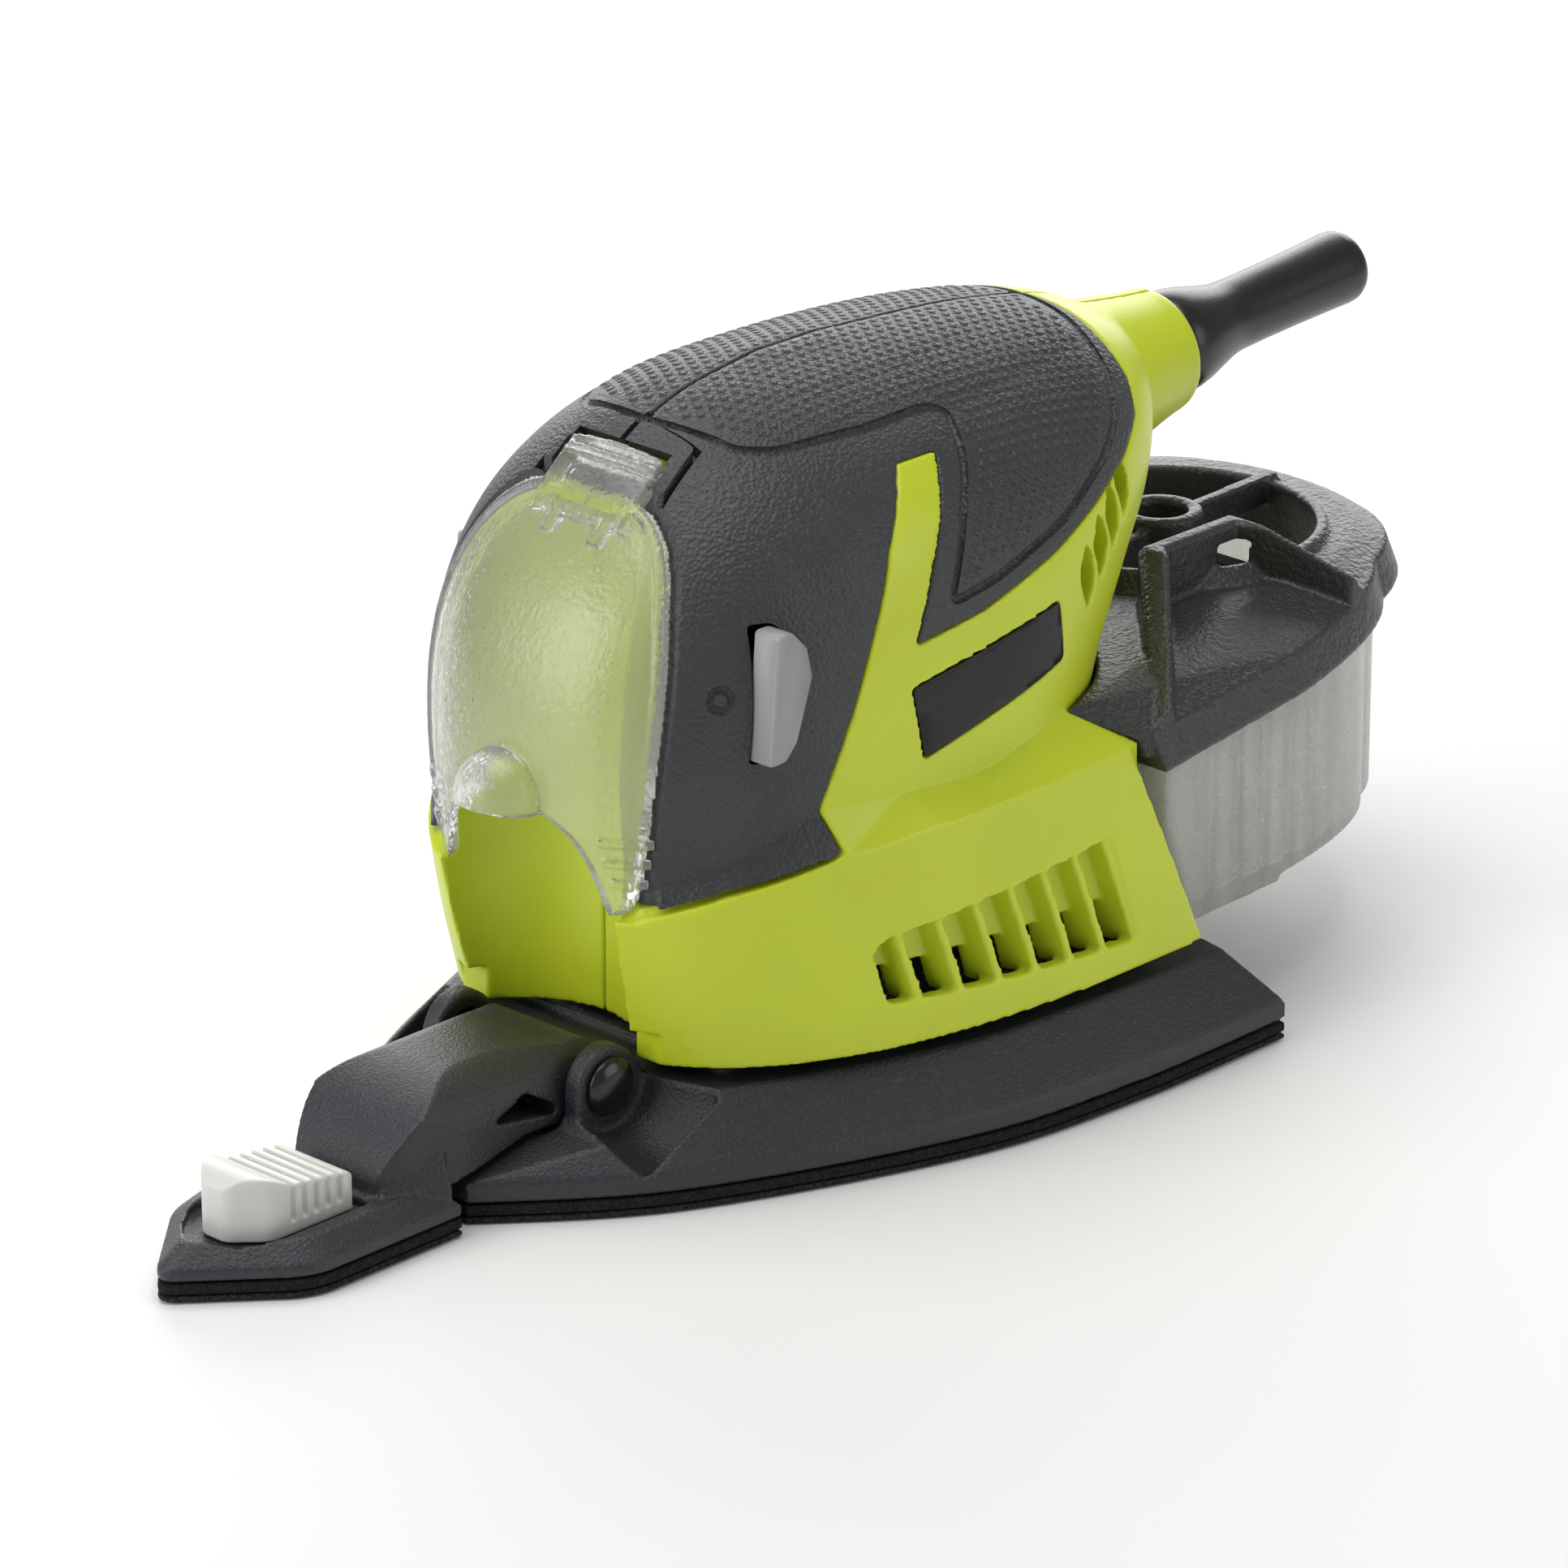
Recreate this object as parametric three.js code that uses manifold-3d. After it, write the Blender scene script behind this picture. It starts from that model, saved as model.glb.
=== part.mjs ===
// Detail orbital sander: boat-shaped sole plate with a fold-up finger, two-part housing with a
// soft grip, clear front visor, push-through switch and a slide-off dust box.
// Millimetres, +Z up. -X is the front (finger tip), +X the rear (cord guard).
// The origin is on the motor axis, in the plane of the sanding face.
import * as THREE from 'three';
import { mergeVertices } from 'three/addons/utils/BufferGeometryUtils.js';
import Module from 'manifold-3d';

const wasm = await Module();
wasm.setup();

// ---------------------------------------------------------------- driving dimensions
const GAP = 0.3; // clearance left between neighbouring pieces
const FAR = 200; // longer than the whole tool, for cutting prisms
const ROUND = 18; // sides of the round pieces

const SOLE = { front: -88, rear: 45, half: 51.5, cornerX: 39, noseHalf: 12 };
const FACING = 0.8; // hook facing thickness
const FOAM = 1.5; // foam pad thickness
const FOAM_Z = FACING + GAP;
const PLATE_Z = FOAM_Z + FOAM + GAP; // underside of the moulded plates
const PLATE_TOP = 14;
const BEVEL = 7.5; // how far the plate's top edge lies inside its bottom edge
const BEVEL_Z = 6; // height where the slope starts

const FINGER = { tip: -135, shoulder: -118.8, rear: -91, half: 14.2, edge: 4.6, top: 7.4 };
const PIN = { x: -64, z: 14.4, radius: 2.6, headRadius: 4.4, half: 16 };
const ARM_HALF = 12; // half the width of the finger's arm
const ARM_TOP = 20.6;
const LUG = { inner: 12.6, outer: 15.6, radius: 5.8 };

const SKIRT_Z = 16.4; // lower edge of the housing
const WALL = 2.4; // housing wall
const SOFT = 1.7; // thickness of the soft overmould
const RECESS = { half: 16, back: -49, top: 92 }; // front channel behind the visor
const VISOR_WALL = 1.6;
const VISOR_HINGE = { x: -45.8, z: 97.4, half: 8, knuckle: 1.9, pin: 0.8 };

const ECCENTRIC = 1; // half of the orbit's diameter
const SHAFT_R = 4;
const PLATEN_BEARING = { z: 7.2, height: 7, outer: 11, inner: 4.5 };
const LOWER_BEARING = { z: 33, height: 7, outer: 11 };
const UPPER_BEARING = { z: 88.5, height: 6, outer: 8.5 };
const FIELD = { z: 45, height: 25, outer: 25, inner: 15.4 };

const BOX = { front: 24, side: 41, stepX: 51.5, cornerX: 83, cornerY: 28.5, rear: 99, floor: 17.6 };
const BOX_WALL = 1.8;
const LID_SLOPE = 0.097; // rise of the lid's lower edge per millimetre towards the rear
const LID_EDGE_Z = 45; // height of that edge at the box's front
const LID_BAND = 6.8; // height of the lid's side band
const HUB = { x: 70, radius: 5.2, bore: 3 }; // boss in the middle of the lid

const BOSS = { x: 67, z: 86.7, radius: 9.7, tilt: 0.07 }; // end of the rear cord boss and its rise
const GUARD = { length: 43.5, sleeve: 5.4, bulb: 7.9, bore: 3.4 };

const COLOUR = {
  lime: '#c9d72e',
  soft: '#47494b',
  plate: '#3a3d42',
  foam: '#151617',
  facing: '#2a2b2d',
  clear: '#dfe4e0',
  frosted: '#c9cbc4',
  lid: '#4a4c4a',
  grey: '#969696',
  white: '#d7dad4',
  rubber: '#1d1e20',
  steel: '#b9bcc0',
  copper: '#b5703a',
  label: '#101112',
  paper: '#e8e4d8',
};

// ---------------------------------------------------------------- helpers
const group = new THREE.Group();

function toSolid(geometry) {
  const bare = geometry.index ? geometry.toNonIndexed() : geometry.clone();
  for (const name of Object.keys(bare.attributes)) {
    if (name !== 'position') bare.deleteAttribute(name);
  }
  const merged = mergeVertices(bare, 1e-4);
  const corners = merged.index.array;
  const kept = [];
  for (let i = 0; i < corners.length; i += 3) {
    const [a, b, c] = [corners[i], corners[i + 1], corners[i + 2]];
    if (a !== b && b !== c && c !== a) kept.push(a, b, c);
  }
  return new wasm.Manifold(new wasm.Mesh({
    numProp: 3,
    vertProperties: new Float32Array(merged.attributes.position.array),
    triVerts: new Uint32Array(kept),
  }));
}

function toGeometry(solid) {
  const mesh = solid.getMesh();
  const geometry = new THREE.BufferGeometry();
  geometry.setAttribute('position', new THREE.BufferAttribute(mesh.vertProperties, 3));
  geometry.setIndex(new THREE.BufferAttribute(mesh.triVerts, 1));
  geometry.computeVertexNormals();
  return geometry;
}

function add(name, colour, solid, finish = {}) {
  const material = new THREE.MeshStandardMaterial({
    color: COLOUR[colour],
    roughness: finish.roughness ?? 0.55,
    metalness: finish.metalness ?? 0,
  });
  const mesh = new THREE.Mesh(toGeometry(solid), material);
  mesh.name = name;
  group.add(mesh);
}

const METAL = { roughness: 0.35, metalness: 0.9 };

function join(...solids) {
  return solids.reduce((whole, next) => whole.add(next));
}

function cut(solid, ...tools) {
  return tools.reduce((whole, tool) => whole.subtract(tool), solid);
}

function outline(points) {
  return new THREE.Shape(points.map(([x, y]) => new THREE.Vector2(x, y)));
}

// A flat outline in X and Y, raised from z0 to z1.
function raise(shape, z0, z1, curveSegments = 12) {
  const geometry = new THREE.ExtrudeGeometry(shape, { depth: z1 - z0, bevelEnabled: false, curveSegments });
  geometry.translate(0, 0, z0);
  return toSolid(geometry);
}

// An outline in X and Z, spread from y0 to y1.
function spread(shape, y0, y1, curveSegments = 12) {
  const geometry = new THREE.ExtrudeGeometry(shape, { depth: y1 - y0, bevelEnabled: false, curveSegments });
  geometry.rotateX(Math.PI / 2);
  geometry.translate(0, y1, 0);
  return toSolid(geometry);
}

function block(x0, x1, y0, y1, z0, z1) {
  const geometry = new THREE.BoxGeometry(x1 - x0, y1 - y0, z1 - z0);
  geometry.translate((x0 + x1) / 2, (y0 + y1) / 2, (z0 + z1) / 2);
  return toSolid(geometry);
}

// A profile of [radius, height] turned about the vertical line at x, y.
function turned(profile, x = 0, y = 0, segments = ROUND) {
  const geometry = new THREE.LatheGeometry(profile.map(([r, z]) => new THREE.Vector2(r, z)), segments);
  geometry.rotateX(Math.PI / 2);
  geometry.translate(x, y, 0);
  return toSolid(geometry);
}

function disc(radius, z0, z1, x = 0, y = 0, segments = ROUND) {
  return turned([[0, z0], [radius, z0], [radius, z1], [0, z1]], x, y, segments);
}

function ring(outer, inner, z0, z1, x = 0, y = 0, segments = ROUND) {
  return turned([[inner, z0], [outer, z0], [outer, z1], [inner, z1], [inner, z0]], x, y, segments);
}

// A profile of [radius, distance] turned about a line along +Y (axis 'y') or +X (axis 'x').
function turnedAlong(axis, profile, at, segments = 20) {
  const geometry = new THREE.LatheGeometry(profile.map(([r, d]) => new THREE.Vector2(r, d)), segments);
  if (axis === 'x') geometry.rotateZ(-Math.PI / 2);
  geometry.translate(...at);
  return toSolid(geometry);
}

function rod(axis, radius, from, to, at, segments = 20) {
  return turnedAlong(axis, [[0, from], [radius, from], [radius, to], [0, to]], at, segments);
}

// A smooth solid of stacked rings: place(angle, level) gives each corner, centre(level) each cap.
function stack(segments, levels, place, centre) {
  const geometry = new THREE.CylinderGeometry(1, 1, 1, segments, levels);
  geometry.rotateX(Math.PI / 2);
  const position = geometry.attributes.position;
  for (let i = 0; i < position.count; i += 1) {
    const x = position.getX(i);
    const y = position.getY(i);
    const level = position.getZ(i) + 0.5;
    const isCentre = Math.hypot(x, y) < 0.5;
    const point = isCentre ? centre(level) : place(Math.atan2(y, x), level);
    position.setXYZ(i, ...point);
  }
  return toSolid(geometry);
}

function power(value, exponent) {
  return Math.sign(value) * Math.abs(value) ** exponent;
}

// ---------------------------------------------------------------- housing surfaces
// Each row: height, front x, rear x, half width, x of the greatest width.
const UPPER_ROWS = [
  [30, -66, 30, 35, -2],
  [45, -67.5, 31, 35.5, -4],
  [58, -68.3, 36, 36, -6],
  [70, -67, 44, 36, -8],
  [80, -63.5, 50.5, 35, -8],
  [88, -58, 53.5, 32.5, -9],
  [94.5, -51.5, 53, 28, -10],
  [100, -44.5, 46, 21.5, -11],
  [104.5, -34.5, 26, 13.5, -12],
  [107.2, -18, -6, 3, -12],
];
const SKIRT_ROWS = [
  [SKIRT_Z - 2, -60.5, 62, 44.5, 20],
  [SKIRT_Z, -61, 62, 44.3, 20],
  [30, -65, 60, 43.2, 16],
  [52, -70, 56, 41, 10],
];
const FRONT_ROUND = 2.6; // exponent of the plan curve in front of the greatest width
const REAR_ROUND = 2.3; // and behind it

function rowCurves(rows, inset) {
  const ends = rows.map(([z, front, rear]) => new THREE.Vector3(front + inset, rear - inset, z));
  const widths = rows.map(([z, , , half, mid]) => new THREE.Vector3(Math.max(half - inset, 0.5), mid, z));
  const shape = new THREE.CatmullRomCurve3(ends);
  const width = new THREE.CatmullRomCurve3(widths);
  return { shape, width };
}

// The housing's outside, or a smaller copy of it when inset is more than nothing.
function hull(rows, inset, segments, levels) {
  const trimmed = rows.map(([z, ...rest], i) => [i === rows.length - 1 ? z - inset : z, ...rest]);
  const { shape, width } = rowCurves(trimmed, inset);
  const section = (level) => {
    const a = shape.getPoint(level);
    const b = width.getPoint(level);
    return { front: a.x, rear: a.y, z: a.z, half: b.x, mid: b.y };
  };
  const place = (angle, level) => {
    const s = section(level);
    const c = Math.cos(angle);
    const round = c < 0 ? FRONT_ROUND : REAR_ROUND;
    const length = c < 0 ? s.mid - s.front : Math.max(s.rear - s.mid, 0.5);
    return [s.mid + length * power(c, 2 / round), s.half * power(Math.sin(angle), 2 / round), s.z];
  };
  const centre = (level) => {
    const s = section(level);
    return [s.mid, 0, s.z];
  };
  return stack(segments, levels, place, centre);
}

const HULL_SEGMENTS = 20;
const UPPER_LEVELS = 8;
const INNER_SEGMENTS = 14;
const INNER_LEVELS = 4;

// Moves every edge of a closed outline outwards by the same amount.
function grow(points, amount) {
  const area = points.reduce((sum, [x, y], i) => {
    const [nx, ny] = points[(i + 1) % points.length];
    return sum + x * ny - nx * y;
  }, 0);
  const turn = Math.sign(area);
  return points.map(([x, y], i) => {
    const [px, py] = points[(i + points.length - 1) % points.length];
    const [nx, ny] = points[(i + 1) % points.length];
    const before = new THREE.Vector2(y - py, px - x).normalize();
    const after = new THREE.Vector2(ny - y, x - nx).normalize();
    const reach = (turn * amount) / (1 + before.dot(after));
    return [x + (before.x + after.x) * reach, y + (before.y + after.y) * reach];
  });
}

// ---------------------------------------------------------------- side outlines (x, z)
const bandTop = [[-80, 37.5], [-65, 39], [-54, 43], [-38, 46.6], [-12, 48.4], [16, 48.8]];
const skirtSide = [...bandTop, [29.5, SKIRT_Z], [-80, SKIRT_Z]];
const visorEdge = [[-61.5, 39.6], [-60.4, 48.7], [-59.8, 60], [-58.3, 73.4], [-53, 88.4], [-45.2, 98.2]];
const visorSide = [[-90, 39.6], ...visorEdge, [-45.2, 110], [-90, 110]];
const softLower = [[-61.1, 41.4], [-54, 44], [-38, 47]];
const slash = [[-39.6, 53], [-30.5, 76], [-25, 87], [-17, 96.4], [-9, 96.4], [-17.9, 83.2], [-22.7, 73.5]];
const softTail = [[-8.8, 75.2], [7, 79.2], [18.3, 82.9], [28.6, 86.6], [35.5, 90], [37.7, 94], [38.2, 110]];
const softFront = [[-42.8, 110], [-42.8, 99.9], [-52.3, 88.6], [-57.6, 73.4], [-59.1, 60], [-59.7, 48.7]];
const softSide = [...softLower, ...slash, ...softTail, ...softFront];
const badgeSide = [[-23.7, 67.3], [7.3, 71.9], [8.5, 63], [-21.1, 56.3]];
const capSide = [[-48.2, 81], [-45.4, 81], [-42.4, 78], [-41.3, 73.6], [-44.4, 64.6], [-46.6, 62.2],
  [-49.8, 62.2]];
const windowSide = [[-34, 31.5], [-31, 33], [10.6, 35.6], [13.9, 21.8], [-31.5, 24.8]];

const side = (points, from = -FAR, to = FAR) => spread(outline(points), from, to);

// ---------------------------------------------------------------- shared solids
const skirtOuter = hull(SKIRT_ROWS, 0, HULL_SEGMENTS, 4).intersect(side(skirtSide));
const upperOuter = hull(UPPER_ROWS, 0, HULL_SEGMENTS, UPPER_LEVELS).trimByPlane([0, 0, 1], 34);
const visorInner = hull(UPPER_ROWS, VISOR_WALL, HULL_SEGMENTS, UPPER_LEVELS);
const visorSeat = hull(UPPER_ROWS, VISOR_WALL + GAP, HULL_SEGMENTS, UPPER_LEVELS);
const softInner = hull(UPPER_ROWS, SOFT, HULL_SEGMENTS, UPPER_LEVELS);
const softSeat = hull(UPPER_ROWS, SOFT + GAP, HULL_SEGMENTS, UPPER_LEVELS);

function tilted(solid) {
  return solid.rotate([0, (-BOSS.tilt * 180) / Math.PI, 0]).translate([BOSS.x, 0, BOSS.z]);
}

// The front channel that the finger's arm swings into, seen from above.
function recessPlan(extra) {
  const half = RECESS.half + extra;
  const back = RECESS.back + extra;
  const shape = new THREE.Shape();
  shape.moveTo(-90, -half - 1);
  shape.lineTo(-64, -half - 1);
  shape.bezierCurveTo(-56, -half, back, -9, back, 0);
  shape.bezierCurveTo(back, 9, -56, half, -64, half + 1);
  shape.lineTo(-90, half + 1);
  return shape;
}

const lugRelief = block(-75, -57.5, -20, 20, SKIRT_Z - 5, 21.5);
const recess = join(raise(recessPlan(0), SKIRT_Z - 5, RECESS.top, 5), lugRelief);

function housingCavity() {
  const inset = WALL + SOFT;
  const floor = SKIRT_Z - 4;
  const skirtInside = [[-80, 34], [-54, 38], [-38, 42], [14.2, 44.5], [27.5, floor], [-80, floor]];
  const deeper = SKIRT_ROWS.map(([z, ...rest], i) => [i === 0 ? z - 6 : z, ...rest]);
  const lower = hull(deeper, WALL, INNER_SEGMENTS, 3);
  const upper = hull(UPPER_ROWS, inset, INNER_SEGMENTS, INNER_LEVELS);
  const recessWall = raise(recessPlan(WALL), 0, RECESS.top + WALL, 5);
  return cut(join(lower.intersect(side(skirtInside)), upper), recessWall);
}

const SLIT = { count: 7, first: -31.5, pitch: 6.4, width: 4.4, lean: -1.6 };

// Side vents of the skirt: one slot between each pair of fins.
function skirtSlots() {
  const slots = [];
  for (let i = 0; i < SLIT.count; i += 1) {
    const x = SLIT.first + SLIT.pitch * i;
    const bottom = 26 - 0.4 * i;
    const top = 31.2 + 0.5 * i;
    const end = x + SLIT.width;
    slots.push(side([[x, bottom], [end, bottom], [end + SLIT.lean, top], [x + SLIT.lean, top]]));
  }
  return join(...slots);
}

// Slanted neck vents under the grip.
function neckSlots() {
  const slots = [];
  for (let i = 0; i < 3; i += 1) {
    const x = 15.5 + 4.6 * i;
    const z = 68.5 + 3.4 * i;
    slots.push(side([[x, z], [x + 2.4, z + 1], [x + 1.2, z + 9], [x - 1.2, z + 8]]));
  }
  return join(...slots);
}

const BADGE_SEAT = 33.8; // distance of the badges' backs from the centre plane
const capHole = grow(capSide, 1.1);

// ---------------------------------------------------------------- housing
const hingeAt = [VISOR_HINGE.x, 0, VISOR_HINGE.z];
const hingeSpace = rod('y', 3, -VISOR_HINGE.half - GAP, VISOR_HINGE.half + GAP, hingeAt, 14);
const pinHole = rod('y', VISOR_HINGE.pin + GAP, -VISOR_HINGE.half - 2.6, VISOR_HINGE.half + 2.6, hingeAt, 10);
const bossProfile = [[0, -28], [12.5, -28], [BOSS.radius + 0.8, -8], [BOSS.radius, 0], [0, 0]];
const DUCT = { y: 11, z0: 24, z1: 36 };

// Eyes beside the visor's knuckle that hold the ends of its pin.
function hingeEyes() {
  const { half: reach } = VISOR_HINGE;
  const eyes = [1, -1].map((sign) => {
    const [near, far] = [reach + GAP, reach + 2].map((y) => y * sign).sort((a, b) => a - b);
    return rod('y', 1.8, near, far, hingeAt, 12);
  });
  return join(...eyes);
}

const housing = cut(
  join(skirtOuter, upperOuter, tilted(turnedAlong('x', bossProfile, [0, 0, 0], 24))),
  housingCavity(),
  recess,
  cut(side(grow(softSide, GAP)), softSeat),
  cut(side(grow(visorSide, GAP)), visorSeat).trimByPlane([0, 0, 1], 39.3),
  side(capHole),
  skirtSlots(),
  neckSlots(),
  hingeSpace,
  tilted(rod('x', 6.2, -60, 5, [0, 0, 0], 16)),
  block(6, 40, -DUCT.y, DUCT.y, DUCT.z0, DUCT.z1),
  side(grow(badgeSide, GAP), BADGE_SEAT - GAP),
  side(grow(badgeSide, GAP), -FAR, GAP - BADGE_SEAT),
);
const housingBody = cut(join(housing, hingeEyes().intersect(upperOuter)), pinHole);

// Screw towers at the four places where the halves meet, with their screws.
const TOWERS = [[-38, 90], [33, 62], [-36, 40], [25, 40]];
const TOWER_R = 3.6;
const SCREW = { shank: 1.5, head: 2.6, headAt: 18, tip: -14 };

function tower(x, z) {
  const post = rod('y', TOWER_R, -60, 60, [x, 0, z], 12);
  const bore = SCREW.shank + GAP;
  const well = SCREW.head + GAP;
  const start = SCREW.tip - 1;
  const profile = [[0, start], [bore, start], [bore, SCREW.headAt], [well, SCREW.headAt],
    [well, FAR], [0, FAR]];
  const hole = turnedAlong('y', profile, [x, 0, z], 12);
  return { post, hole };
}

const towers = TOWERS.map(([x, z]) => tower(x, z));
const inside = join(skirtOuter, upperOuter.intersect(softSeat));
const towered = cut(
  join(housingBody, ...towers.map((t) => cut(t.post.intersect(inside), recess))),
  ...towers.map((t) => t.hole),
);

function half(solid, sign) {
  return solid.trimByPlane([0, sign, 0], GAP / 2);
}

// The largest closed body of a solid: chips cut loose by a slot are dropped.
function largest(solid) {
  return solid.decompose().reduce((best, part) => (part.volume() > best.volume() ? part : best));
}

for (const [name, sign] of [['left', 1], ['right', -1]]) {
  add(`housing_${name}`, 'lime', largest(half(towered, sign)), { roughness: 0.5 });
}

// ---------------------------------------------------------------- soft overmould
const soft = cut(
  upperOuter.intersect(side(softSide)),
  softInner,
  side(capHole),
  rod('y', 3, -VISOR_HINGE.half - 2.6, VISOR_HINGE.half + 2.6, hingeAt, 14),
  ...towers.map((t) => t.hole),
);
for (const [name, sign] of [['left', 1], ['right', -1]]) {
  add(`overmould_${name}`, 'soft', largest(half(soft, sign)), { roughness: 0.75 });
}

// ---------------------------------------------------------------- badges (blank plates)
const badge = side(badgeSide).intersect(upperOuter);
for (const [name, sign] of [['left', 1], ['right', -1]]) {
  const plateSide = half(badge, sign).trimByPlane([0, sign, 0], BADGE_SEAT);
  add(`badge_${name}`, 'label', largest(plateSide), { roughness: 0.3 });
}

// ---------------------------------------------------------------- visor and its pin
const arch = new THREE.Shape();
arch.moveTo(-14, 30);
arch.lineTo(14, 30);
arch.lineTo(13.4, 43);
arch.bezierCurveTo(12, 52, 6, 54.5, 0, 54.5);
arch.bezierCurveTo(-6, 54.5, -12, 52, -13.4, 43);

function archCutter() {
  const geometry = new THREE.ExtrudeGeometry(arch, { depth: 60, bevelEnabled: false, curveSegments: 5 });
  geometry.rotateX(Math.PI / 2);
  geometry.rotateZ(-Math.PI / 2);
  geometry.translate(-50, 0, 0);
  return toSolid(geometry);
}

const domeBall = (radius) => {
  const geometry = new THREE.SphereGeometry(radius, 14, 8);
  geometry.translate(-67, 0, 61);
  return toSolid(geometry);
};
const visorShell = cut(
  join(upperOuter.intersect(side(visorSide)), domeBall(6.4).trimByPlane([-1, 0, 0], 60)),
  domeBall(4.9),
  visorInner,
  archCutter(),
);
const knuckle = rod('y', VISOR_HINGE.knuckle, -VISOR_HINGE.half, VISOR_HINGE.half, hingeAt, 12);
const eyeSpace = [1, -1].map((sign) => block(-47.9, -40, sign > 0 ? 8 : -12, sign > 0 ? 12 : -8, 95, 110));
add('visor', 'clear', largest(cut(join(visorShell, knuckle), pinHole, ...eyeSpace)), { roughness: 0.15 });
const pinReach = VISOR_HINGE.half + 1.6;
add('visor_pin', 'steel', rod('y', VISOR_HINGE.pin, -pinReach, pinReach, hingeAt, 10), METAL);

// ---------------------------------------------------------------- housing screws
TOWERS.forEach(([x, z], i) => {
  const under = SCREW.headAt + GAP;
  const profile = [[0, SCREW.tip], [SCREW.shank, SCREW.tip + 1.5], [SCREW.shank, under],
    [SCREW.head, under], [SCREW.head, under + 1.7], [SCREW.head - 1, under + 2.3], [0, under + 2.3]];
  add(`housing_screw_${i + 1}`, 'steel', turnedAlong('y', profile, [x, 0, z], 10), METAL);
});

// ---------------------------------------------------------------- switch
const CAP_REACH = 33.5; // near face of the left cap at rest
const barSolid = block(-46, -42, -CAP_REACH + 4, CAP_REACH - 8, 69, 75);
const nearCap = side(capSide, -CAP_REACH, -CAP_REACH + 5);
const farCap = side(capSide, CAP_REACH - 9, CAP_REACH - 4);
add('switch_slider', 'grey', join(barSolid, nearCap, farCap), { roughness: 0.45 });
add('switch_module', 'foam', cut(
  block(-45.8, -28.5, -11, 11, 62, 67.6),
  block(-47, -40, -8, 8, 66.2, 69),
));

// ---------------------------------------------------------------- cord guard and clamp
const guardProfile = [[GUARD.bore, -16], [5.8, -16], [5.8, 0.5], [GUARD.bulb, 0.6], [GUARD.bulb, 6],
  [GUARD.sleeve, 15], [GUARD.sleeve + 0.3, GUARD.length - 2], [GUARD.sleeve - 0.6, GUARD.length],
  [GUARD.bore, GUARD.length], [GUARD.bore, -16]];
add('cord_guard', 'rubber', tilted(turnedAlong('x', guardProfile, [0, 0, 0], 16)), { roughness: 0.6 });
add('cord_clamp', 'foam', cut(block(33, 39.5, -9, 9, 76, 80), rod('x', 3, 30, 45, [0, 0, 82.5], 12)));

// ---------------------------------------------------------------- motor: fixed pieces
const fieldRing = ring(FIELD.outer, FIELD.inner, FIELD.z, FIELD.z + FIELD.height);
const coilSlot = block(-13, 13, -21, 21, 0, FAR).intersect(ring(21, 10, 0, FAR));
add('field_core', 'steel', cut(fieldRing, coilSlot), METAL);
for (const [name, sign] of [['left', 1], ['right', -1]]) {
  const saddle = ring(20.6, FIELD.inner + 0.4, FIELD.z - 5, FIELD.z + FIELD.height + 5);
  const piece = saddle.intersect(block(-12.6, 12.6, -30, 30, 0, 100)).trimByPlane([0, sign, 0], 5);
  add(`field_coil_${name}`, 'copper', piece, METAL);
}
const BRUSH = { z: 80, half: 2.5, length: 14 };
for (const [name, turn] of [['front', 180], ['rear', 0]]) {
  const { z, half: w } = BRUSH;
  const bore = w + GAP;
  const holder = cut(
    block(11, 26, -4, 4, z - 4, z + 4),
    block(0, 24.5, -bore, bore, z - bore, z + bore),
  );
  add(`brush_holder_${name}`, 'copper', holder.rotate([0, 0, turn]), METAL);
  const brush = block(9.8, 9.8 + BRUSH.length, -w, w, z - w, z + w);
  add(`carbon_brush_${name}`, 'foam', brush.rotate([0, 0, turn]));
}
const { z: lowZ, height: lowH, outer: lowR } = LOWER_BEARING;
const { z: topZ, height: topH, outer: topR } = UPPER_BEARING;
add('lower_bearing', 'steel', ring(lowR, SHAFT_R + GAP, lowZ, lowZ + lowH), METAL);
add('upper_bearing', 'steel', ring(topR, SHAFT_R - 0.7, topZ, topZ + topH), METAL);
add('upper_bearing_sleeve', 'rubber', ring(topR + 2.2, topR + GAP, topZ, topZ + topH));
const bracketPlate = block(-26, 15, -24, 24, lowZ + 1, lowZ + 5);
const bracketSeat = disc(lowR + 2.6, lowZ - 1.4, lowZ + lowH);
add('motor_bracket', 'plate', cut(
  join(bracketPlate, bracketSeat),
  disc(lowR + GAP, lowZ - GAP, FAR),
  disc(lowR - 2, 0, FAR),
));

// ---------------------------------------------------------------- rotor
const shaftTop = topZ + topH + 1;
const shaftProfile = [[0, 20], [SHAFT_R, 20], [SHAFT_R, 86.5], [3, 87], [3, shaftTop], [0, shaftTop]];
add('motor_shaft', 'steel', turned(shaftProfile, 0, 0, 14), METAL);
const ARMATURE = { radius: 14, slots: 8, slotRadius: 1.6 };
const armatureSlots = [];
for (let i = 0; i < ARMATURE.slots; i += 1) {
  const angle = (2 * Math.PI * i) / ARMATURE.slots;
  const [x, y] = [Math.cos(angle), Math.sin(angle)].map((c) => c * (ARMATURE.radius - 1));
  armatureSlots.push(block(x - 1, x + 1, y - 1, y + 1, 0, FAR));
}
add('armature_core', 'steel', cut(
  ring(ARMATURE.radius, SHAFT_R + GAP, FIELD.z + 1, FIELD.z + FIELD.height - 1),
  ...armatureSlots,
), METAL);
for (const [name, z0] of [['lower', FIELD.z - 3.6], ['upper', FIELD.z + FIELD.height - 0.7]]) {
  const [inner, outer, round, z1] = [SHAFT_R + GAP, 11.5, 1.4, z0 + 4.3];
  const profile = [[inner, z0], [outer - round, z0], [outer, z0 + round], [outer, z1 - round],
    [outer - round, z1], [inner, z1], [inner, z0]];
  add(`armature_winding_${name}`, 'copper', turned(profile), METAL);
}
add('commutator', 'copper', ring(9, SHAFT_R + GAP, 75, 85.5), METAL);

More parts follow.
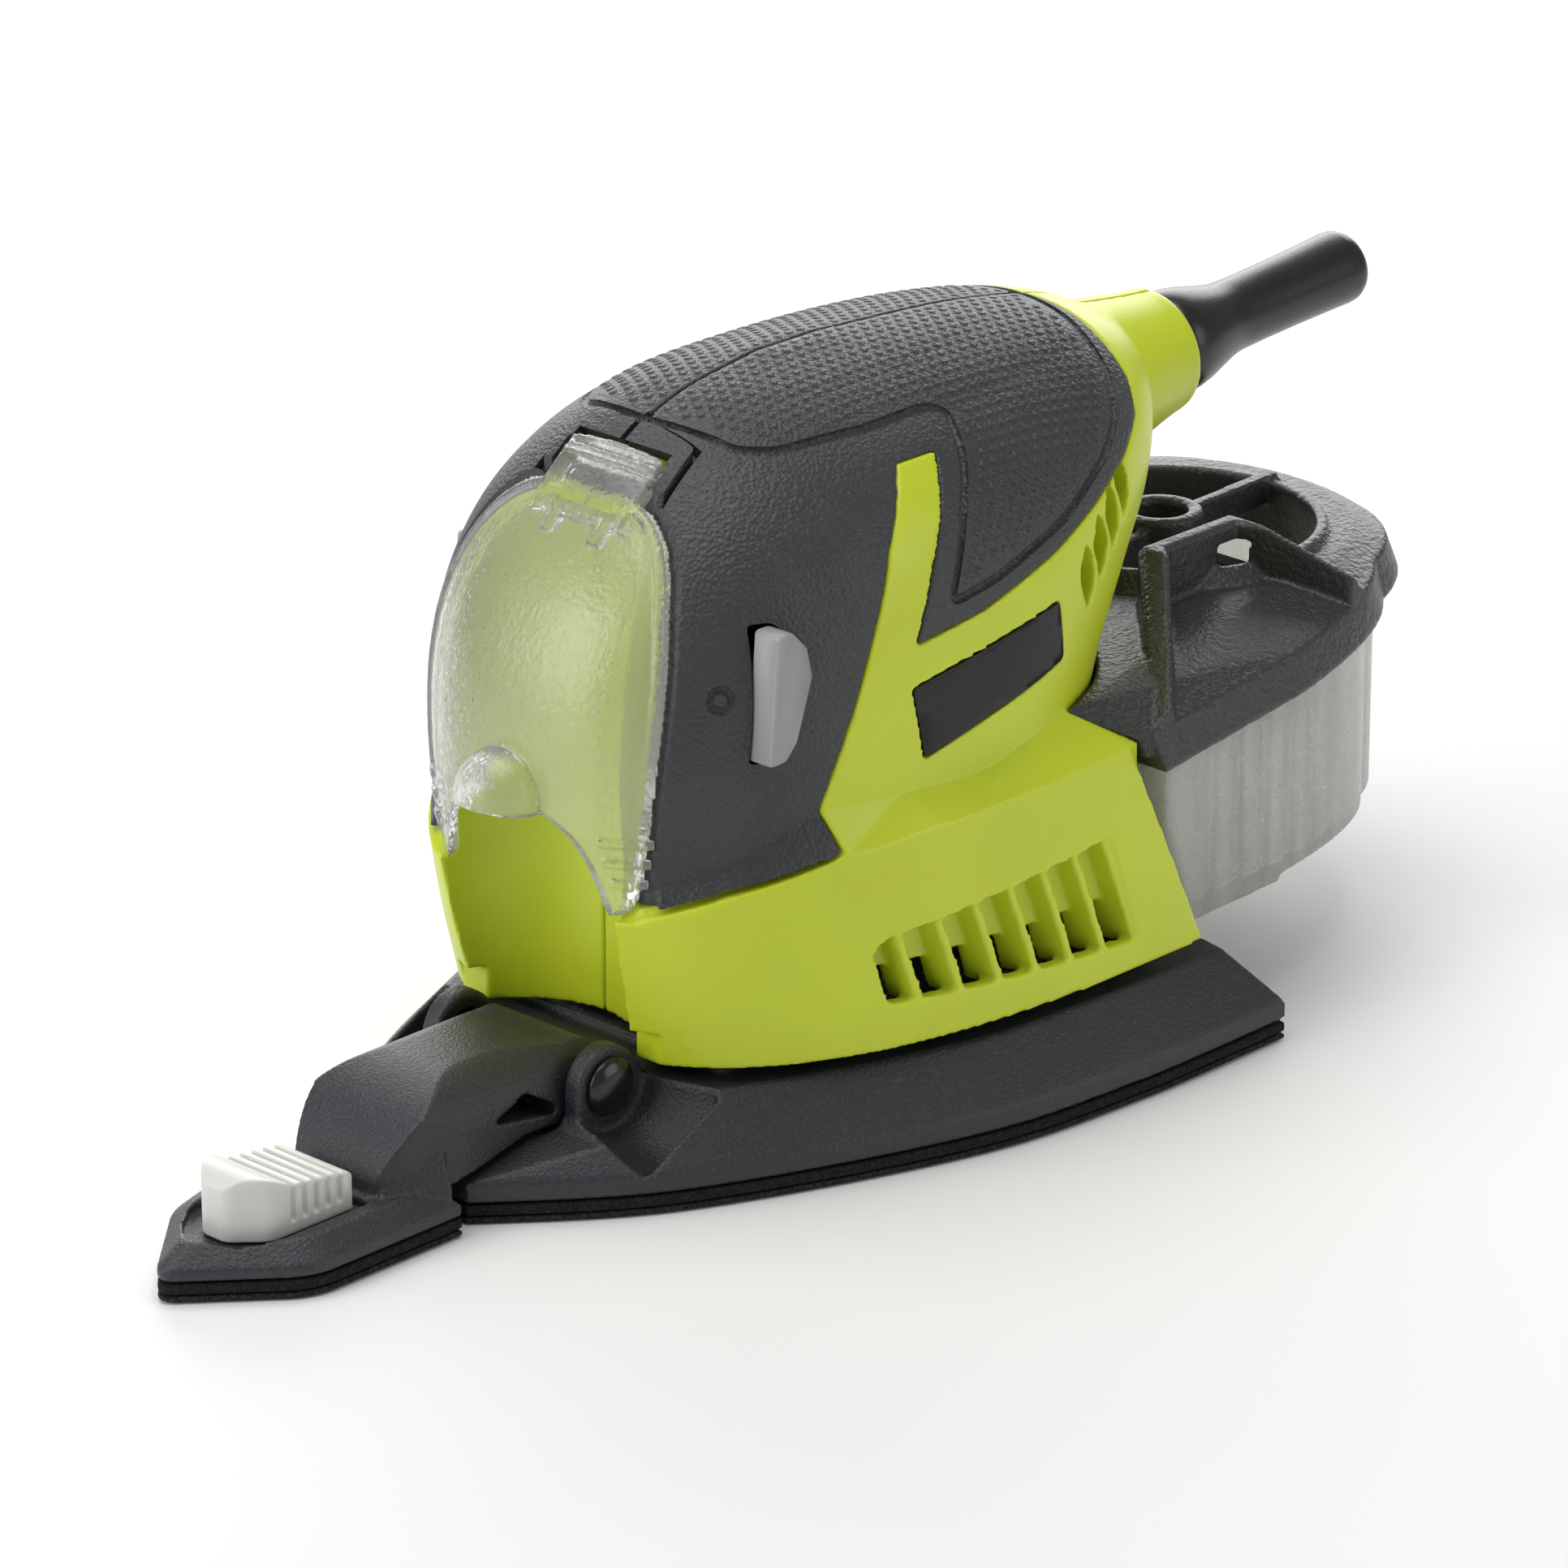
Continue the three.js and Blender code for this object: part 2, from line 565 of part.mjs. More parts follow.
const FAN = { z0: 21, z1: 29.5, hub: 8, radius: 19.4, blades: 9 };
function fanSolid() {
  let fan = join(disc(FAN.radius, FAN.z1 - 1.5, FAN.z1), disc(FAN.hub, FAN.z0, FAN.z1));
  for (let i = 0; i < FAN.blades; i += 1) {
    const blade = block(FAN.hub - 1, FAN.radius - 1, -0.8, 0.8, FAN.z0, FAN.z1 - 1);
    fan = fan.add(blade.rotate([0, 0, (360 * i) / FAN.blades]));
  }
  return cut(fan, disc(SHAFT_R + GAP, 0, FAR));
}
add('fan', 'lid', fanSolid());

// The eccentric carries the platen bearing on a journal offset from the motor axis.
const { z: seatZ, height: seatH, outer: seatR, inner: seatBore } = PLATEN_BEARING;
const weight = outline([[-15, -9], [-4, -11], [-4, 11], [-15, 9]]);
add('eccentric', 'steel', cut(
  join(disc(8.5, 15, 19.7), raise(weight, 15.4, 19.7), disc(seatBore - GAP, seatZ, 15.5, ECCENTRIC)),
  disc(1.9, 0, seatZ + 7, ECCENTRIC, 0, 10),
), METAL);
add('platen_bearing', 'steel', ring(seatR, seatBore, seatZ, seatZ + seatH, ECCENTRIC), METAL);
add('retaining_washer', 'steel', ring(6.2, 1.8, seatZ - 1.5, seatZ - GAP, ECCENTRIC, 0, 14), METAL);
const screwProfile = [[0, seatZ - 2.3], [3, seatZ - 2.3], [3, seatZ - 1.8], [1.5, seatZ - 1.8],
  [1.5, seatZ + 6], [0, seatZ + 6]];
add('retaining_screw', 'steel', turned(screwProfile, ECCENTRIC, 0, 10), METAL);

// ---------------------------------------------------------------- sole plate
function soleShape() {
  const { front, noseHalf, cornerX, half: wide } = SOLE;
  const edge = [[front, -noseHalf], [-64, -30.5], [-23, -47], [8, -51.2], [cornerX, -wide]];
  const points = edge.map(([x, y]) => new THREE.Vector2(x, y));
  const shape = new THREE.Shape();
  shape.moveTo(points[0].x, points[0].y);
  shape.splineThru(points.slice(1));
  shape.quadraticCurveTo(2 * SOLE.rear - SOLE.cornerX, 0, SOLE.cornerX, SOLE.half);
  shape.splineThru([...points].reverse().slice(1).map((p) => new THREE.Vector2(p.x, -p.y)));
  return shape;
}

// A slab whose upper edge is bevelled inwards from bevelZ to the top.
function bevelled(shape, bottom, bevelZ, top, inset, curveSegments) {
  const geometry = new THREE.ExtrudeGeometry(shape, {
    depth: bevelZ - bottom + 1,
    bevelEnabled: true,
    bevelSegments: 1,
    bevelThickness: top - bevelZ,
    bevelSize: inset,
    bevelOffset: -inset,
    curveSegments,
  });
  geometry.translate(0, 0, bottom - 1);
  return toSolid(geometry).trimByPlane([0, 0, 1], bottom);
}

const SOLE_STEPS = 3;
const pinAt = [PIN.x, 0, PIN.z];
const lugHole = join(
  rod('y', PIN.radius + GAP, -FAR, FAR, pinAt, 14),
  rod('y', PIN.headRadius + GAP, -PIN.half - 4, -PIN.half + GAP, pinAt, 14),
  rod('y', PIN.headRadius + GAP, PIN.half - GAP, PIN.half + 4, pinAt, 14),
);
const lugs = [-1, 1].map((sign) => {
  const cheek = new THREE.Shape();
  cheek.moveTo(PIN.x + 9, PLATE_TOP - 3);
  cheek.lineTo(PIN.x + 6, PIN.z + 2);
  cheek.absarc(PIN.x, PIN.z, LUG.radius, 0.3, Math.PI, false);
  cheek.lineTo(PIN.x - LUG.radius, PLATE_TOP - 3);
  const [y0, y1] = sign > 0 ? [LUG.inner, LUG.outer] : [-LUG.outer, -LUG.inner];
  return spread(cheek, y0, y1, 6);
});
const wellRear = PIN.x + 7.5;
const armWell = side(
  [[-100, 5.4], [-89, 5.4], [-77.5, 8.6], [wellRear, 8.6], [wellRear, 40], [-100, 40]],
  -LUG.inner,
  LUG.inner,
);
const lipRing = cut(
  raise(outline([[-50, -24], [26, -36], [26, 36], [-50, 24]]), PLATE_TOP - 1, PLATE_TOP + 1.2),
  raise(outline([[-48, -22], [24, -34], [24, 34], [-48, 22]]), 0, 40),
);
const dustHoles = [[-30, 16], [-30, -16], [-8, 30], [-8, -30], [22, 28], [22, -28]];
const holes = dustHoles.map(([x, y]) => disc(4, -1, 40, x, y, 8));
const plateSolid = join(
  cut(
    bevelled(soleShape(), PLATE_Z, BEVEL_Z, PLATE_TOP, BEVEL, SOLE_STEPS),
    armWell,
    disc(16, seatZ + seatH + GAP, 40, ECCENTRIC),
    disc(seatR + GAP, seatZ - GAP, 40, ECCENTRIC),
    disc(7.5, 0, 40, ECCENTRIC),
    ...holes,
  ),
  ...lugs,
  lipRing,
);
add('platen', 'plate', cut(plateSolid, lugHole), { roughness: 0.7 });
const solePad = (z0, z1) => raise(soleShape(), z0, z1, SOLE_STEPS);
add('platen_foam', 'foam', cut(solePad(FOAM_Z, FOAM_Z + FOAM), ...holes), { roughness: 0.95 });
add('platen_facing', 'facing', cut(solePad(0, FACING), ...holes), { roughness: 1 });

// ---------------------------------------------------------------- rubber posts
const POST = { radius: 5, z0: PLATE_TOP + 2, z1: 30 };
[[-34, -16], [-34, 16], [11, -28], [11, 28]].forEach(([x, y], i) => {
  add(`rubber_post_${i + 1}`, 'rubber', disc(POST.radius, POST.z0, POST.z1, x, y, 12), { roughness: 0.9 });
});

// ---------------------------------------------------------------- finger
const fingerPlan = outline([[FINGER.tip, 0], [FINGER.shoulder, -FINGER.half],
  [FINGER.rear, -FINGER.half], [FINGER.rear, FINGER.half], [FINGER.shoulder, FINGER.half]]);
const armSide = new THREE.Shape();
armSide.moveTo(-103, FINGER.edge);
armSide.lineTo(-101.6, FINGER.top + 2);
armSide.bezierCurveTo(-99, 14.6, -94, ARM_TOP - 1, -86, ARM_TOP);
armSide.bezierCurveTo(-80, ARM_TOP + 0.4, -72, ARM_TOP, -66, 19.2);
armSide.absarc(PIN.x, PIN.z, 5, 1.7, -Math.PI / 2, true);
armSide.lineTo(-77, 9.6);
armSide.lineTo(-90.5, 6.4);
armSide.lineTo(FINGER.rear, FINGER.edge);
// Seen from the front, the arm narrows towards a rounded crest.
function armCrest() {
  const crest = new THREE.Shape();
  crest.moveTo(-ARM_HALF, 0);
  crest.lineTo(ARM_HALF, 0);
  crest.lineTo(ARM_HALF, 12);
  crest.bezierCurveTo(ARM_HALF, 18, 8, ARM_TOP + 0.4, 3, ARM_TOP + 0.4);
  crest.lineTo(-3, ARM_TOP + 0.4);
  crest.bezierCurveTo(-8, ARM_TOP + 0.4, -ARM_HALF, 18, -ARM_HALF, 12);
  const geometry = new THREE.ExtrudeGeometry(crest, { depth: 60, bevelEnabled: false, curveSegments: 4 });
  geometry.rotateX(Math.PI / 2);
  geometry.rotateZ(-Math.PI / 2);
  geometry.translate(-50, 0, 0);
  return toSolid(geometry);
}
const armPlan = raise(outline([[-106, -4], [-98, -9.6], [-88, -ARM_HALF], [-50, -ARM_HALF],
  [-50, ARM_HALF], [-88, ARM_HALF], [-98, 9.6], [-106, 4]]), 0, 50);
const armPocket = side([[-83, 13], [-75.8, 15.6], [-70.5, 12.4], [-70.5, 11]]);
const pad = bevelled(fingerPlan, PLATE_Z, FINGER.edge, FINGER.top, 3, 4);
const wellPlan = outline([[-128.5, 0], [-120.6, -8.4], [-103.3, -8.4], [-103.3, 8.4], [-120.6, 8.4]]);
add('finger', 'plate', cut(
  join(pad, spread(armSide, -ARM_HALF, ARM_HALF, 5).intersect(armCrest()).intersect(armPlan)),
  raise(wellPlan, FINGER.top - 1.6, 12),
  armPocket,
  rod('y', PIN.radius + GAP, -FAR, FAR, pinAt, 14),
), { roughness: 0.7 });
const fingerPad = (z0, z1) => raise(fingerPlan, z0, z1);
add('finger_foam', 'foam', fingerPad(FOAM_Z, FOAM_Z + FOAM), { roughness: 0.95 });
add('finger_facing', 'facing', fingerPad(0, FACING), { roughness: 1 });
const headEnd = PIN.half + 1.8;
const pinProfile = [[0, -headEnd], [PIN.headRadius, -headEnd], [PIN.headRadius, -PIN.half],
  [PIN.radius, -PIN.half], [PIN.radius, PIN.half], [PIN.headRadius, PIN.half],
  [PIN.headRadius, headEnd], [0, headEnd]];
add('finger_pin', 'rubber', turnedAlong('y', pinProfile, pinAt, 14), { roughness: 0.4 });

const latchZ = FINGER.top - 1.6 + GAP;
const latchSide = outline([[-124.5, latchZ], [-124.5, 13.2], [-121.6, 15.4], [-118.4, 15], [-115.4, 13.4],
  [-107, 12.4], [-104.4, 11.4], [-104.4, latchZ]]);
const latchPlan = outline([[-124.2, -2.4], [-119.4, -6.8], [-104, -6.8],
  [-104, 6.8], [-119.4, 6.8], [-124.2, 2.4]]);
add('finger_latch', 'white', spread(latchSide, -7, 7).intersect(raise(latchPlan, 0, 30)), { roughness: 0.5 });

// ---------------------------------------------------------------- dust box
function boxShape(extra) {
  const { front, side: wide, stepX, cornerX, cornerY, rear } = BOX;
  const shape = new THREE.Shape();
  shape.moveTo(front - extra, -wide - extra);
  shape.lineTo(stepX, -wide + 1.2 - extra);
  shape.quadraticCurveTo(75, -wide + 4.5 - extra, cornerX, -cornerY - extra);
  shape.quadraticCurveTo(rear - 6 + extra, -cornerY + 4 - extra, rear - 3 + extra, -15);
  shape.quadraticCurveTo(rear + 2 + extra, 0, rear - 3 + extra, 15);
  shape.quadraticCurveTo(rear - 6 + extra, cornerY - 4 + extra, cornerX, cornerY + extra);
  shape.quadraticCurveTo(75, wide - 4.5 + extra, stepX, wide - 1.2 + extra);
  shape.lineTo(front - extra, wide + extra);
  return shape;
}
const lidEdge = (x, rise) => [x, LID_EDGE_Z + rise + LID_SLOPE * (x - BOX.front)];
const under = (rise) => side([lidEdge(-60, rise), lidEdge(160, rise), [160, -60], [-60, -60]]);

// Everything in front of this line belongs to the housing.
const boxFront = [[29.9, 0], [29.9, SKIRT_Z], [17.4, 49.2], [30.8, 50.2], [34.6, 58], [40, 66], [42, 90],
  [160, 90], [160, 0]];
const boxSpace = side(grow(boxFront, -0.4));
const OUTSIDE_GAP = 0.5;
const clearOfHull = hull(UPPER_ROWS, -OUTSIDE_GAP, HULL_SEGMENTS, UPPER_LEVELS);

const binOuter = raise(boxShape(0), BOX.floor, 70, 4).intersect(under(-GAP));
const binInner = raise(boxShape(-BOX_WALL), BOX.floor + BOX_WALL, 70, 4);
const inlet = block(20, 36, -DUCT.y, DUCT.y, DUCT.z0, DUCT.z1);
add('dust_bin', 'frosted', cut(
  binOuter.intersect(boxSpace),
  binInner.intersect(side(grow(boxFront, -0.4 - BOX_WALL))),
  inlet,
  clearOfHull,
), { roughness: 0.35 });

const lidOuter = raise(boxShape(3.4), 30, 80, 4);
const lidBandTop = under(LID_BAND);
const deck = cut(lidOuter.intersect(lidBandTop), under(0));
const lidHollow = cut(raise(boxShape(1.2), 30, 80, 4).intersect(under(LID_BAND - 2)), under(-5));
const deckHole = disc(27, 0, FAR, HUB.x);
const ribs = [-1, 1].map((sign) => {
  const path = [[27, 40], [45, 17], [64, 17], [72, 32],
    [69.5, 33.5], [62.6, 19.4], [46.2, 19.4], [29.6, 41.5]];
  return raise(outline(path.map(([x, y]) => [x, y * sign])), 50, 64);
});
const ribProfile = [[20, 49], [44, 66], [64, 66], [74, 59], [100, 59], [100, 30], [20, 30]];
const ribEnvelope = under(LID_BAND + 7).intersect(side(ribProfile));
const spokes = join(
  block(46, 66, -2, -0.6, 54, 60),
  block(74, 98, -1.2, 1.2, 54, 60),
);
const lidTop = join(
  cut(deck, deckHole),
  ...ribs.map((rib) => rib.intersect(ribEnvelope)),
  spokes,
  disc(HUB.radius, 52, 61, HUB.x),
);
add('dust_lid', 'lid', largest(cut(
  lidTop.intersect(boxSpace),
  lidHollow,
  disc(HUB.bore, 0, FAR, HUB.x, 0, 12),
  clearOfHull,
)), { roughness: 0.6 });

// Filter: a frame under the lid's opening, with pleated paper hanging from it.
const filterZ = 46.5;
add('filter_frame', 'foam', cut(
  block(40, 86, -22, 22, filterZ, filterZ + 2.5),
  block(43, 83, -19, 19, 0, FAR),
));
const pleats = [];
for (let i = 0; i < 11; i += 1) pleats.push([43.5 + i * 3.9, i % 2 ? filterZ - 1 : filterZ - 14]);
const pleatBack = [...pleats].reverse().map(([x, z]) => [x, z - 1.2]);
add('filter_pleats', 'paper', side([...pleats, ...pleatBack], -18.5, 18.5), { roughness: 1 });
const sealTube = (shrink) => block(
  19 - shrink, 33 + shrink, shrink - DUCT.y, DUCT.y - shrink, DUCT.z0 + shrink, DUCT.z1 - shrink,
);
add('duct_seal', 'rubber', cut(sealTube(0.4).trimByPlane([1, 0, 0], 20), sealTube(2)), { roughness: 0.9 });

export default group;
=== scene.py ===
"""Looks of the detail orbital sander: fine shells, grips, openwork lid and procedural materials.

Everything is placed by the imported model's own frame. Shapes are worked out in millimetres,
in the row frame, and turned into metres when a mesh is made.
"""

import math

import bmesh
import bpy
import numpy as np
from mathutils import Matrix, Vector


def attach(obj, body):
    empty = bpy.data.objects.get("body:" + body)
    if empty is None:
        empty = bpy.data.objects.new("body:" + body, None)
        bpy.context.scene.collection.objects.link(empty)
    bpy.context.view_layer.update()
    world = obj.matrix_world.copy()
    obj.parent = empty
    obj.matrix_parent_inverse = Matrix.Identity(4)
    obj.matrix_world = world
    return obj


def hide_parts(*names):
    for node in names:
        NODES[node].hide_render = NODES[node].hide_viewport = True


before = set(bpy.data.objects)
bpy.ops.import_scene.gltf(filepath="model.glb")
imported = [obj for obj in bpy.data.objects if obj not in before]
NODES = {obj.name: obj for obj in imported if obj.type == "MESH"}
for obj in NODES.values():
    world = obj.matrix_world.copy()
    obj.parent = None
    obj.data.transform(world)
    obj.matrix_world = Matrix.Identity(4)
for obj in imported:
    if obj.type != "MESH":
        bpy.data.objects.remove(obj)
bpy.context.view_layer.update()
MM = 0.001
FAR = 200.0

# ------------------------------------------------------------------ driving dimensions (mm)
UPPER_ROWS = [  # height, front x, rear x, half width, x of the greatest width
    (30, -66, 30, 35, -2), (45, -67.5, 31, 35.5, -4), (58, -68.3, 36, 36, -6), (70, -67, 44, 36, -8),
    (80, -63.5, 50.5, 35, -8), (88, -58, 53.5, 32.5, -9), (94.5, -51.5, 53, 28, -10),
    (100, -44.5, 46, 21.5, -11), (104.5, -34.5, 26, 13.5, -12), (107.2, -18, -6, 3, -12),
]
SKIRT_ROWS = [(14.4, -60.5, 62, 44.5, 20), (16.4, -61, 62, 44.3, 20), (30, -65, 60, 43.2, 16),
              (52, -70, 56, 41, 10)]
FRONT_ROUND = 2.6
REAR_ROUND = 2.3
SKIRT_Z = 16.4
WALL = 2.4
SOFT = 1.7
GAP = 0.3
VISOR_WALL = 1.6
SHELL_TRIM_Z = 34

BAND_TOP = [(-80, 37.5), (-65, 39), (-54, 43), (-38, 46.6), (-12, 48.4), (16, 48.8)]
VISOR_EDGE = [(-64.4, 39.6), (-62.6, 40.2), (-61.6, 42.4), (-61.2, 49.8), (-60.7, 59.9), (-59.3, 70.5),
              (-56.5, 81.4), (-53.8, 87.3), (-51.9, 90.8), (-50.5, 93.6), (-49.9, 96.2)]
SOFT_LOWER = [(-61.1, 41.4), (-54, 44), (-38, 47)]
SLASH = [(-39.6, 53), (-30.5, 76), (-25, 87), (-17, 96.4), (-9, 96.4), (-17.9, 83.2), (-22.7, 73.5)]
SOFT_TAIL = [(-8.8, 75.2), (7, 79.2), (18.3, 82.9), (28.6, 86.6), (35.5, 90), (37.7, 94), (38.2, 110)]
SOFT_FRONT = [(-49.2, 110)]
BADGE = [(-23.7, 67.3), (7.3, 71.9), (8.5, 63), (-21.1, 56.3)]
BADGE_SEAT = 33.8
CAP = [(-48.2, 81), (-45.4, 81), (-42.4, 78), (-41.3, 73.6), (-44.4, 64.6), (-46.6, 62.2), (-49.8, 62.2)]
CAP_REACH = 33.5
HINGE = (-45.8, 0, 97.4)
HINGE_HALF = 8
BOSS = {"x": 67, "z": 86.7, "radius": 9.7, "tilt": 0.07}


# ------------------------------------------------------------------ mesh helpers
def new_object(name, verts, faces):
    """A mesh object from points in millimetres."""
    mesh = bpy.data.meshes.new(name)
    mesh.from_pydata([tuple(c * MM for c in v) for v in verts], [], faces)
    bm = bmesh.new()
    bm.from_mesh(mesh)
    bmesh.ops.remove_doubles(bm, verts=bm.verts, dist=1e-7)
    bmesh.ops.recalc_face_normals(bm, faces=bm.faces)
    bm.to_mesh(mesh)
    bm.free()
    obj = bpy.data.objects.new(name, mesh)
    bpy.context.scene.collection.objects.link(obj)
    return obj


def remove(obj):
    bpy.data.objects.remove(obj, do_unlink=True)


def bake_modifiers(obj):
    """Turns an object's modifiers into its mesh."""
    graph = bpy.context.evaluated_depsgraph_get()
    graph.update()
    mesh = bpy.data.meshes.new_from_object(obj.evaluated_get(graph))
    obj.modifiers.clear()
    obj.data = mesh
    return obj


def boolean(obj, tool, operation):
    """Changes a solid by a tool, which is used up."""
    mod = obj.modifiers.new("boolean", "BOOLEAN")
    mod.operation = operation
    mod.solver = "MANIFOLD"
    mod.object = tool
    bake_modifiers(obj)
    remove(tool)
    return obj


def cut(obj, *tools):
    for tool in tools:
        boolean(obj, tool, "DIFFERENCE")
    return obj


def join(obj, *others):
    for other in others:
        boolean(obj, other, "UNION")
    return obj


def common(obj, *others):
    for other in others:
        boolean(obj, other, "INTERSECT")
    return obj


def copy(obj):
    twin = obj.copy()
    twin.data = obj.data.copy()
    bpy.context.scene.collection.objects.link(twin)
    return twin


def keep_largest(obj):
    """Drops the chips that a cut left loose."""
    bm = bmesh.new()
    bm.from_mesh(obj.data)
    left = set(bm.verts)
    islands = []
    while left:
        stack = [left.pop()]
        island = set(stack)
        while stack:
            vert = stack.pop()
            for edge in vert.link_edges:
                other = edge.other_vert(vert)
                if other in left:
                    left.discard(other)
                    island.add(other)
                    stack.append(other)
        islands.append(island)
    islands.sort(key=len)
    for island in islands[:-1]:
        bmesh.ops.delete(bm, geom=list(island), context="VERTS")
    bm.to_mesh(obj.data)
    bm.free()
    return obj


def soften(obj, voxel, passes=2, keep=1.0):
    """Even, finely meshed copy of a solid with its edges rounded by about one voxel."""
    mod = obj.modifiers.new("even", "REMESH")
    mod.mode = "VOXEL"
    mod.voxel_size = voxel * MM
    mod.use_smooth_shade = True
    smooth = obj.modifiers.new("smooth", "SMOOTH")
    smooth.factor = 0.5
    smooth.iterations = passes
    if keep < 1:
        thin = obj.modifiers.new("thin", "DECIMATE")
        thin.ratio = keep
    bake_modifiers(obj)
    obj.data.polygons.foreach_set("use_smooth", [True] * len(obj.data.polygons))
    return obj


def thin_out(obj, ratio):
    mod = obj.modifiers.new("thin", "DECIMATE")
    mod.ratio = ratio
    return bake_modifiers(obj)


def shade(obj, angle=35):
    """Smooth shading that keeps edges sharper than the angle."""
    obj.data.polygons.foreach_set("use_smooth", [True] * len(obj.data.polygons))
    obj.data.set_sharp_from_angle(angle=math.radians(angle))
    return obj


def bevel(obj, width, segments=3, angle=30):
    mod = obj.modifiers.new("bevel", "BEVEL")
    mod.width = width * MM
    mod.segments = segments
    mod.limit_method = "ANGLE"
    mod.angle_limit = math.radians(angle)
    mod.harden_normals = True
    bake_modifiers(obj)
    return shade(obj, 50)


def rounded(points, radius, steps=5):
    """A closed outline with each corner replaced by an arc of about that radius."""
    out = []
    count = len(points)
    for i, corner in enumerate(points):
        here = Vector(corner)
        before = Vector(points[i - 1]) - here
        after = Vector(points[(i + 1) % count]) - here
        reach = min(radius, before.length * 0.45, after.length * 0.45)
        start = here + before.normalized() * reach
        end = here + after.normalized() * reach
        for k in range(steps + 1):
            t = k / steps
            out.append(tuple(start * (1 - t) ** 2 + here * 2 * t * (1 - t) + end * t * t))
    return out


def grow(points, amount):
    """Moves every edge of a closed outline outwards by the same amount."""
    count = len(points)
    area = sum(points[i][0] * points[(i + 1) % count][1] - points[(i + 1) % count][0] * points[i][1]
               for i in range(count))
    turn = amount if area > 0 else -amount
    out = []
    for i, (x, y) in enumerate(points):
        px, py = points[i - 1]
        nx, ny = points[(i + 1) % count]
        before = Vector((y - py, px - x)).normalized()
        after = Vector((ny - y, x - nx)).normalized()
        reach = turn / (1 + before.dot(after))
        out.append((x + (before.x + after.x) * reach, y + (before.y + after.y) * reach))
    return out


def loft(name, rings):
    """A closed solid through rings of points, with flat ends."""
    count = len(rings[0])
    verts = [p for ring in rings for p in ring]
    faces = [list(range(count))[::-1], list(range(len(verts) - count, len(verts)))]
    for level in range(len(rings) - 1):
        base = level * count
        for k in range(count):
            nxt = (k + 1) % count
            faces.append([base + k, base + nxt, base + count + nxt, base + count + k])
    return new_object(name, verts, faces)


def side(points, y0=-FAR, y1=FAR):
    """An outline of (x, z) points drawn out along y."""
    return loft("side", [[(x, y, z) for x, z in points] for y in (y0, y1)])


def slab(points, z0, z1):
    """An outline of (x, y) points drawn out along z."""
    return loft("slab", [[(x, y, z) for x, y in points] for z in (z0, z1)])


def block(x0, x1, y0, y1, z0, z1):
    return slab([(x0, y0), (x1, y0), (x1, y1), (x0, y1)], z0, z1)


def lathe(profile, axis, at, segments=64):
    """A closed profile of (radius, distance) points turned about a line along x, y or z."""
    frames = {"x": (Vector((1, 0, 0)), Vector((0, 1, 0)), Vector((0, 0, 1))),
              "y": (Vector((0, 1, 0)), Vector((0, 0, 1)), Vector((1, 0, 0))),
              "z": (Vector((0, 0, 1)), Vector((1, 0, 0)), Vector((0, 1, 0)))}
    along, across, up = frames[axis]
    origin = Vector(at)
    count = len(profile)
    verts = []
    for k in range(segments):
        angle = 2 * math.pi * k / segments
        out = across * math.cos(angle) + up * math.sin(angle)
        verts += [origin + along * d + out * r for r, d in profile]
    faces = []
    for k in range(segments):
        base = k * count
        nxt = ((k + 1) % segments) * count
        for i in range(count):
            j = (i + 1) % count
            quad = [base + i, base + j, nxt + j, nxt + i]
            if profile[i][0] < 1e-6 and profile[j][0] < 1e-6:
                continue
            faces.append(quad)
    obj = new_object("lathe", verts, faces)
    bm = bmesh.new()
    bm.from_mesh(obj.data)
    bmesh.ops.dissolve_degenerate(bm, dist=1e-7, edges=bm.edges)
    bmesh.ops.recalc_face_normals(bm, faces=bm.faces)
    bm.to_mesh(obj.data)
    bm.free()
    return obj


def rod(axis, radius, start, end, at, segments=48):
    return lathe([(0, start), (radius, start), (radius, end), (0, end)], axis, at, segments)


def ball(radius, at, segments=48):
    profile = [(radius * math.sin(math.pi * k / 24), -radius * math.cos(math.pi * k / 24)) for k in range(25)]
    return lathe(profile, "z", at, segments)


def pipe(path, radius, sides=8, closed=False):
    """A tube of one radius along points in space."""
    points = [Vector(p) for p in path]
    rings = []
    count = len(points)
    for i, point in enumerate(points):
        last = points[i - 1] if (closed or i) else point
        following = points[(i + 1) % count] if (closed or i < count - 1) else point
        along = (following - last).normalized()
        across = along.cross(Vector((0, 0, 1)))
        if across.length < 0.1:
            across = along.cross(Vector((0, 1, 0)))
        across.normalize()
        up = across.cross(along)
        rings.append([point + (across * math.cos(a) + up * math.sin(a)) * radius
                      for a in (2 * math.pi * k / sides for k in range(sides))])
    if closed:
        verts = [p for ring in rings for p in ring]
        faces = []
        for i in range(count):
            base, nxt = i * sides, ((i + 1) % count) * sides
            for k in range(sides):
                j = (k + 1) % sides
                faces.append([base + k, base + j, nxt + j, nxt + k])
        return new_object("pipe", verts, faces)
    return loft("pipe", rings)


# ------------------------------------------------------------------ the housing's surface
def smooth_curve(points):
    """The centripetal Catmull-Rom curve through rows of numbers, from 0 to 1."""
    inner = [np.array(p, float) for p in points]
    ends = [2 * inner[0] - inner[1]] + inner + [2 * inner[-1] - inner[-2]]

    def at(t):
        place = t * (len(inner) - 1)
        i = min(int(place), len(inner) - 2)
        w = place - i
        p0, p1, p2, p3 = ends[i:i + 4]
        d0, d1, d2 = (float(np.linalg.norm(b - a)) ** 0.5 for a, b in ((p0, p1), (p1, p2), (p2, p3)))
        m1 = ((p1 - p0) / d0 - (p2 - p0) / (d0 + d1) + (p2 - p1) / d1) * d1
        m2 = ((p2 - p1) / d1 - (p3 - p1) / (d1 + d2) + (p3 - p2) / d2) * d1
        square = (-3 * p1 + 3 * p2 - 2 * m1 - m2) * w * w
        return p1 + m1 * w + square + (2 * p1 - 2 * p2 + m1 + m2) * w ** 3
    return at


